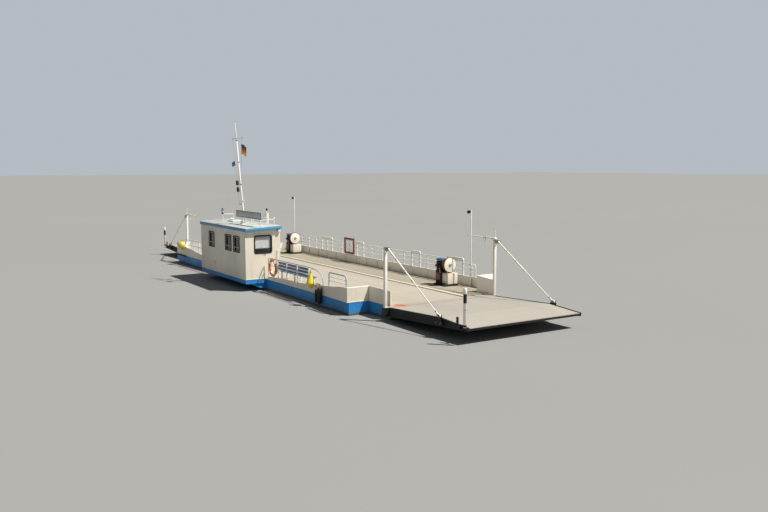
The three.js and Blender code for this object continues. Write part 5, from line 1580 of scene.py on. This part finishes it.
def makeWindows():
    gasket = frameSection(-0.014, 0.002, 0.050, 0.024, 0.008)
    inner = frameSection(-0.046, -0.016, 0.016, 0.014, 0.004)
    parts = []
    for middle, facing, width, height, corner in windowList():
        sash = trimPaint if facing[1] else rubberBlack
        parts += [(windowFrame(middle, facing, width, height, corner, gasket), rubberBlack),
                  (windowFrame(middle, facing, width, height, corner, inner), sash)]
    # sliding sash: an upright in the middle of each wide deck window, and a bar low in the near ones
    y0, y1 = cabin["y"]
    for a, b in deckX:
        x, low, high = (a + b) / 2, deckSpan[0] + 0.005, deckSpan[1] - 0.005
        parts.append((block((x - 0.012, y1 - 0.034, low), (x + 0.012, y1 - 0.016, high), 0.004), rubberBlack))
    for a, b in nearX:
        z = nearZ[0] + 0.20
        parts.append((block((a + 0.01, y0 + 0.014, z), (b - 0.01, y0 + 0.030, z + 0.02), 0.004), trimPaint))
    makePiece("window_gaskets", parts)


# Dark boards inside the walls and under the roof, laid between the windows and beside the door; their
# near-black brown is painted shade of the cabin's inside
lining = dict(thin=0.008, low=0.9605, top=2.99, doorX=-2.50)


def makeLining():
    (x0, x1), (y0, y1), inset = cabin["x"], cabin["y"], cabin["wall"] + 0.001
    xa, xb, ya, yb = x0 + inset, x1 - inset, y0 + inset, y1 - inset
    thin, low, top, doorX = (lining[key] for key in ("thin", "low", "top", "doorX"))
    spans = [((xa, nearX[0][0]), (nearX[0][1], nearX[1][0]), (nearX[1][1], nearX[2][0]), (nearX[2][1], xb)),
             ((doorX, deckX[0][0]), (deckX[0][1], deckX[1][0]), (deckX[1][1], xb))]
    boards = [((xa, ya, low), (xb, ya + thin, nearZ[0])), ((xa, ya, nearZ[1]), (xb, ya + thin, top)),
              ((doorX, yb - thin, low), (xb, yb, deckSpan[0])),
              ((doorX, yb - thin, deckSpan[1]), (xb, yb, top))]
    boards += [((a, ya, nearZ[0]), (b, ya + thin, nearZ[1])) for a, b in spans[0]]
    boards += [((a, yb - thin, deckSpan[0]), (b, yb, deckSpan[1])) for a, b in spans[1]]
    for a, b in ((xa, xa + thin), (xb - thin, xb)):
        boards += [((a, ya, low), (b, yb, endZ[0])), ((a, ya, endZ[1]), (b, yb, top)),
                   ((a, ya, endZ[0]), (b, endY[0], endZ[1])), ((a, endY[1], endZ[0]), (b, yb, endZ[1]))]
    boards.append(((xa, ya, top), (xb, yb, top + 0.006)))
    parts = [(block(a, b, 0.003), liningWoodAndShade) for a, b in boards]
    makePiece("cabin_lining", parts)


# Trim of the walls: corner angles up to the roof, a drip bar over each window, a base bar at the pontoon
trim = dict(thin=0.004, low=0.955, topNear=3.005, topDeck=3.085, drip=(0.018, 0.010, 0.003),
            base=(0.014, 0.04, 0.004), baseZ=0.975)


def makeTrim():
    (x0, x1), (y0, y1) = cabin["x"], cabin["y"]
    width, thin, low = cabin["corner"], trim["thin"], trim["low"]
    parts = []
    for x, way in ((x0, -1), (x1, 1)):
        for y, side in ((y0, -1), (y1, 1)):
            top = trim["topNear"] if side < 0 else trim["topDeck"]
            # one leg of the angle on each wall, as (reach along X, reach along Y)
            for alongX, alongY in ((width, 0.001), (0.001, width)):
                xs = sorted((x + way * thin, x - way * alongX))
                ys = sorted((y + side * thin, y - side * alongY))
                parts.append((block((xs[0], ys[0], low), (xs[1], ys[1], top), 0.002), trimPaint))
    lines = [((a - 0.06, y0 - 0.008), (b + 0.06, y0 - 0.008), nearZ[1] + 0.065) for a, b in nearX]
    lines += [((a - 0.06, y1 + 0.008), (b + 0.06, y1 + 0.008), deckSpan[1] + 0.07) for a, b in deckX]
    lines.append(((x1 + 0.008, endY[0] - 0.05), (x1 + 0.008, endY[1] + 0.05), endZ[1] + 0.06))
    parts += [(beam((*a, z), (*b, z), *trim["drip"]), trimPaint) for a, b, z in lines]
    baseZ = trim["baseZ"]
    parts += [(beam((x0, y0 - 0.006, baseZ), (x1, y0 - 0.006, baseZ), *trim["base"]), trimPaint),
              (beam((x1 + 0.006, y0, baseZ), (x1 + 0.006, y1, baseZ), *trim["base"]), trimPaint)]
    makePiece("cabin_trim", parts)


# Lamps under the eaves, wipers on the end windows, vent louvres on the near wall, two grab rails
fittings = dict(boxes=(((1.599, -2.46, 2.945), (1.70, -2.325, 3.07), 0.015, ringWhite),
                       ((1.69, -2.45, 2.955), (1.712, -2.335, 3.06), 0.008, lensGlass),
                       ((-3.83, -3.2, 2.92), (-3.749, -3.06, 3.0), 0.015, ringWhite)),
                wiperY=-3.02, wiperZ=2.0, louvres=5, louvreX=(-2.2, -1.9), louvreZ=1.30, louvrePitch=0.035,
                grab=0.014)


def makeCabinFittings():
    (x0, x1), (y0, y1) = cabin["x"], cabin["y"]
    parts = blocks(fittings["boxes"])
    y, z = fittings["wiperY"], fittings["wiperZ"]
    for x, way in ((x1, 1), (x0, -1)):
        # a spindle under the frame, an arm and a blade
        out, near = x + way * 0.022, x + way * 0.004
        parts += [(level(x, x + way * 0.03, y, z, 0.016), rubberBlack),
                  (rod((out, y, z), (out, -3.30, 2.22), 0.006, sides=10), rubberBlack),
                  (beam((near, -3.42, 2.12), (near, -3.18, 2.32), 0.010, 0.014, 0.003, axisX), rubberBlack)]
    (a, b), y = fittings["louvreX"], y0 - 0.006
    for k in range(fittings["louvres"]):
        z = fittings["louvreZ"] + fittings["louvrePitch"] * k
        parts.append((beam((a, y, z), (b, y, z), 0.016, 0.018, 0.004), trimPaint))
    byDoor = [(-2.44, y1, 1.55), (-2.44, y1 + 0.06, 1.55), (-2.44, y1 + 0.06, 2.35), (-2.44, y1, 2.35)]
    byEnd = [(x1, -2.46, 1.25), (x1 + 0.06, -2.46, 1.25), (x1 + 0.06, -2.46, 2.15), (x1, -2.46, 2.15)]
    parts += [(pipe(byDoor, fittings["grab"], 0.04, up=axisX), railPaint),
              (pipe(byEnd, fittings["grab"], 0.04, up=axisY), railPaint)]
    makePiece("cabin_fittings", parts)


# Blind of thin metal slats, let down over the upper part of the right end window
blind = dict(x=1.525, y=(-3.60, -2.62), top=2.87, pitch=0.030, slats=19, half=0.017, bow=0.003, tilt=1.15,
             cords=(-3.42, -2.80), cord=0.0015)


def makeBlind():
    (ya, yb), x, top = blind["y"], blind["x"], blind["top"]
    # a slat's section is bow * (1 - t^2) across half * t, with a thin underside, turned by the tilt
    t = np.linspace(-1, 1, 7)
    line = np.stack([blind["half"] * t, blind["bow"] * (1 - t ** 2)], 1)
    section = np.concatenate([line, line[::-1] - [0, 0.0008]])[::-1]
    cos, sin = np.cos(blind["tilt"]), np.sin(blind["tilt"])
    section = section @ np.array([[cos, -sin], [sin, cos]]).T
    parts = [(block((x - 0.02, ya, top - 0.01), (x + 0.02, yb, top + 0.03), 0.004), slatGrey)]
    for k in range(blind["slats"]):
        z = top - 0.025 - k * blind["pitch"]
        parts.append((carry(section, [(x, yb, z), (x, ya, z)]), slatGrey))
    low = top - 0.02 - blind["slats"] * blind["pitch"]
    parts.append((block((x - 0.012, ya, low - 0.012), (x + 0.012, yb, low), 0.004), slatGrey))
    for y in blind["cords"]:
        parts.append((upright(x, y, low - 0.005, top, blind["cord"], sides=6), ropeFibre))
    makePiece("window_blind", parts)


# Steering desk with a sloped top, a screen, levers and a wheel; a stool with a moulded plastic seat
desk = dict(y=(-3.70, -2.60), side=((0.90, 0.97), (1.48, 0.97), (1.48, 1.95), (1.15, 1.90), (0.90, 1.78)),
            bevel=0.012, wheel=(0.88, -3.05, 1.70), wheelRadius=0.17, spokes=3, levers=(-2.85, -2.78),
            knob=[[0, 0], [0.016, 0.004], [0.02, 0.02], [0.012, 0.036], [0, 0.04]])
stool = dict(x=0.475, y=-3.175, foot=0.17, stem=0.05,
             seat=(((0.25, -3.40, 1.36), (0.70, -2.95, 1.45), 0.04, rubberBlack),
                   ((0.25, -3.38, 1.44), (0.30, -2.97, 1.62), 0.02, rubberBlack)))
screen = (((1.02, -3.62, 1.852), (1.04, -3.24, 2.10), 0.008, panelGrey),
          ((1.016, -3.60, 1.875), (1.022, -3.26, 2.08), 0.004, lensGlass))
matBox = (((-3.68, -3.85, 0.9535), (1.53, -2.40, 0.9595), 0.002, matRubber),)


def makeDesk():
    # the desk's side outline carried straight across
    side = np.array(desk["side"])
    rings = [np.stack([side[:, 0], np.full(len(side), y), side[:, 1]], 1) for y in desk["y"]]
    body = closeRings(np.array(rings), np.array(desk["y"]))
    makePiece("steering_desk", [(body, panelGrey)], bevel=desk["bevel"])
    x, y = stool["x"], stool["y"]
    wheelX, wheelY, wheelZ = desk["wheel"]
    parts = blocks(stool["seat"])
    parts += [(upright(x, y, 0.98, 1.37, stool["stem"], sides=24), bareSteel),
              (upright(x, y, 0.959, 0.985, stool["foot"], sides=32), panelGrey)]
    parts += blocks(screen)
    parts += [(hoop(desk["wheel"], (1.0, 0, 0.5), desk["wheelRadius"], circleProfile(0.014, 12), 40),
               rubberBlack),
              (rod((0.92, wheelY, 1.72), (0.86, wheelY, 1.69), 0.03), bareSteel)]
    for k in range(desk["spokes"]):
        angle, reach = np.pi / 2 + k * twoPi / desk["spokes"], desk["wheelRadius"] - 0.01
        tip = np.array([wheelX, wheelY + reach * np.cos(angle), wheelZ + reach * np.sin(angle) * 0.9])
        tip[0] -= 0.45 * (tip[2] - wheelZ)
        parts.append((rod(desk["wheel"], tip, 0.008, sides=8), bareSteel))
    for y in desk["levers"]:
        parts += [(rod((1.05, y, 1.84), (1.02, y, 1.98), 0.008, sides=10), bareSteel),
                  (turned(desk["knob"], (1.02, y, 1.97), steps=16), rubberBlack)]
    makePiece("desk_gear", parts, ["cabin_console"])
    makePiece("cabin_mat", blocks(matBox))


# Door fittings: gasket round its pane, a kick plate, a lever's rose, rivets and three hinge leaves
door = dict(paneX=-2.925, paneZ=2.35, pane=(0.43, 0.70, 0.05), plate=(-3.25, -2.60, 1.05, 1.30),
            rose=(-2.63, 1.95), hingeX=(-3.28, -3.20), hingeZ=(1.25, 1.9, 2.6),
            rivetX=(-3.22, -2.925, -2.63), rivetZ=(1.08, 1.27))


def makeDoorFittings():
    face = cabin["y"][1] + 0.004
    gasket = frameSection(0.012, 0.003, 0.036, 0.018, 0.006)
    x0, x1, z0, z1 = door["plate"]
    roseX, roseZ = door["rose"]
    parts = [(windowFrame((door["paneX"], face, door["paneZ"]), axisY, *door["pane"], gasket), rubberBlack),
             (block((x0, face - 0.001, z0), (x1, face + 0.003, z1), 0.0015), bareSteel),
             (crossways(roseX, face - 0.001, face + 0.012, roseZ, 0.03, sides=24), bareSteel)]
    rivets = [(x, face + 0.002, z) for x in door["rivetX"] for z in door["rivetZ"]]
    parts.append((studs(rivets, 0.008, 0.003, facing=axisY, sides=10), bareSteel))
    a, b = door["hingeX"]
    parts += [(block((a, face - 0.001, z), (b, face + 0.004, z + 0.08), 0.0015), bareSteel)
              for z in door["hingeZ"]]
    makePiece("door_fittings", parts, (), "door")


makeWindows()
makeLining()
makeTrim()
makeCabinFittings()
makeBlind()
makeDesk()
makeDoorFittings()
print("cabin done")
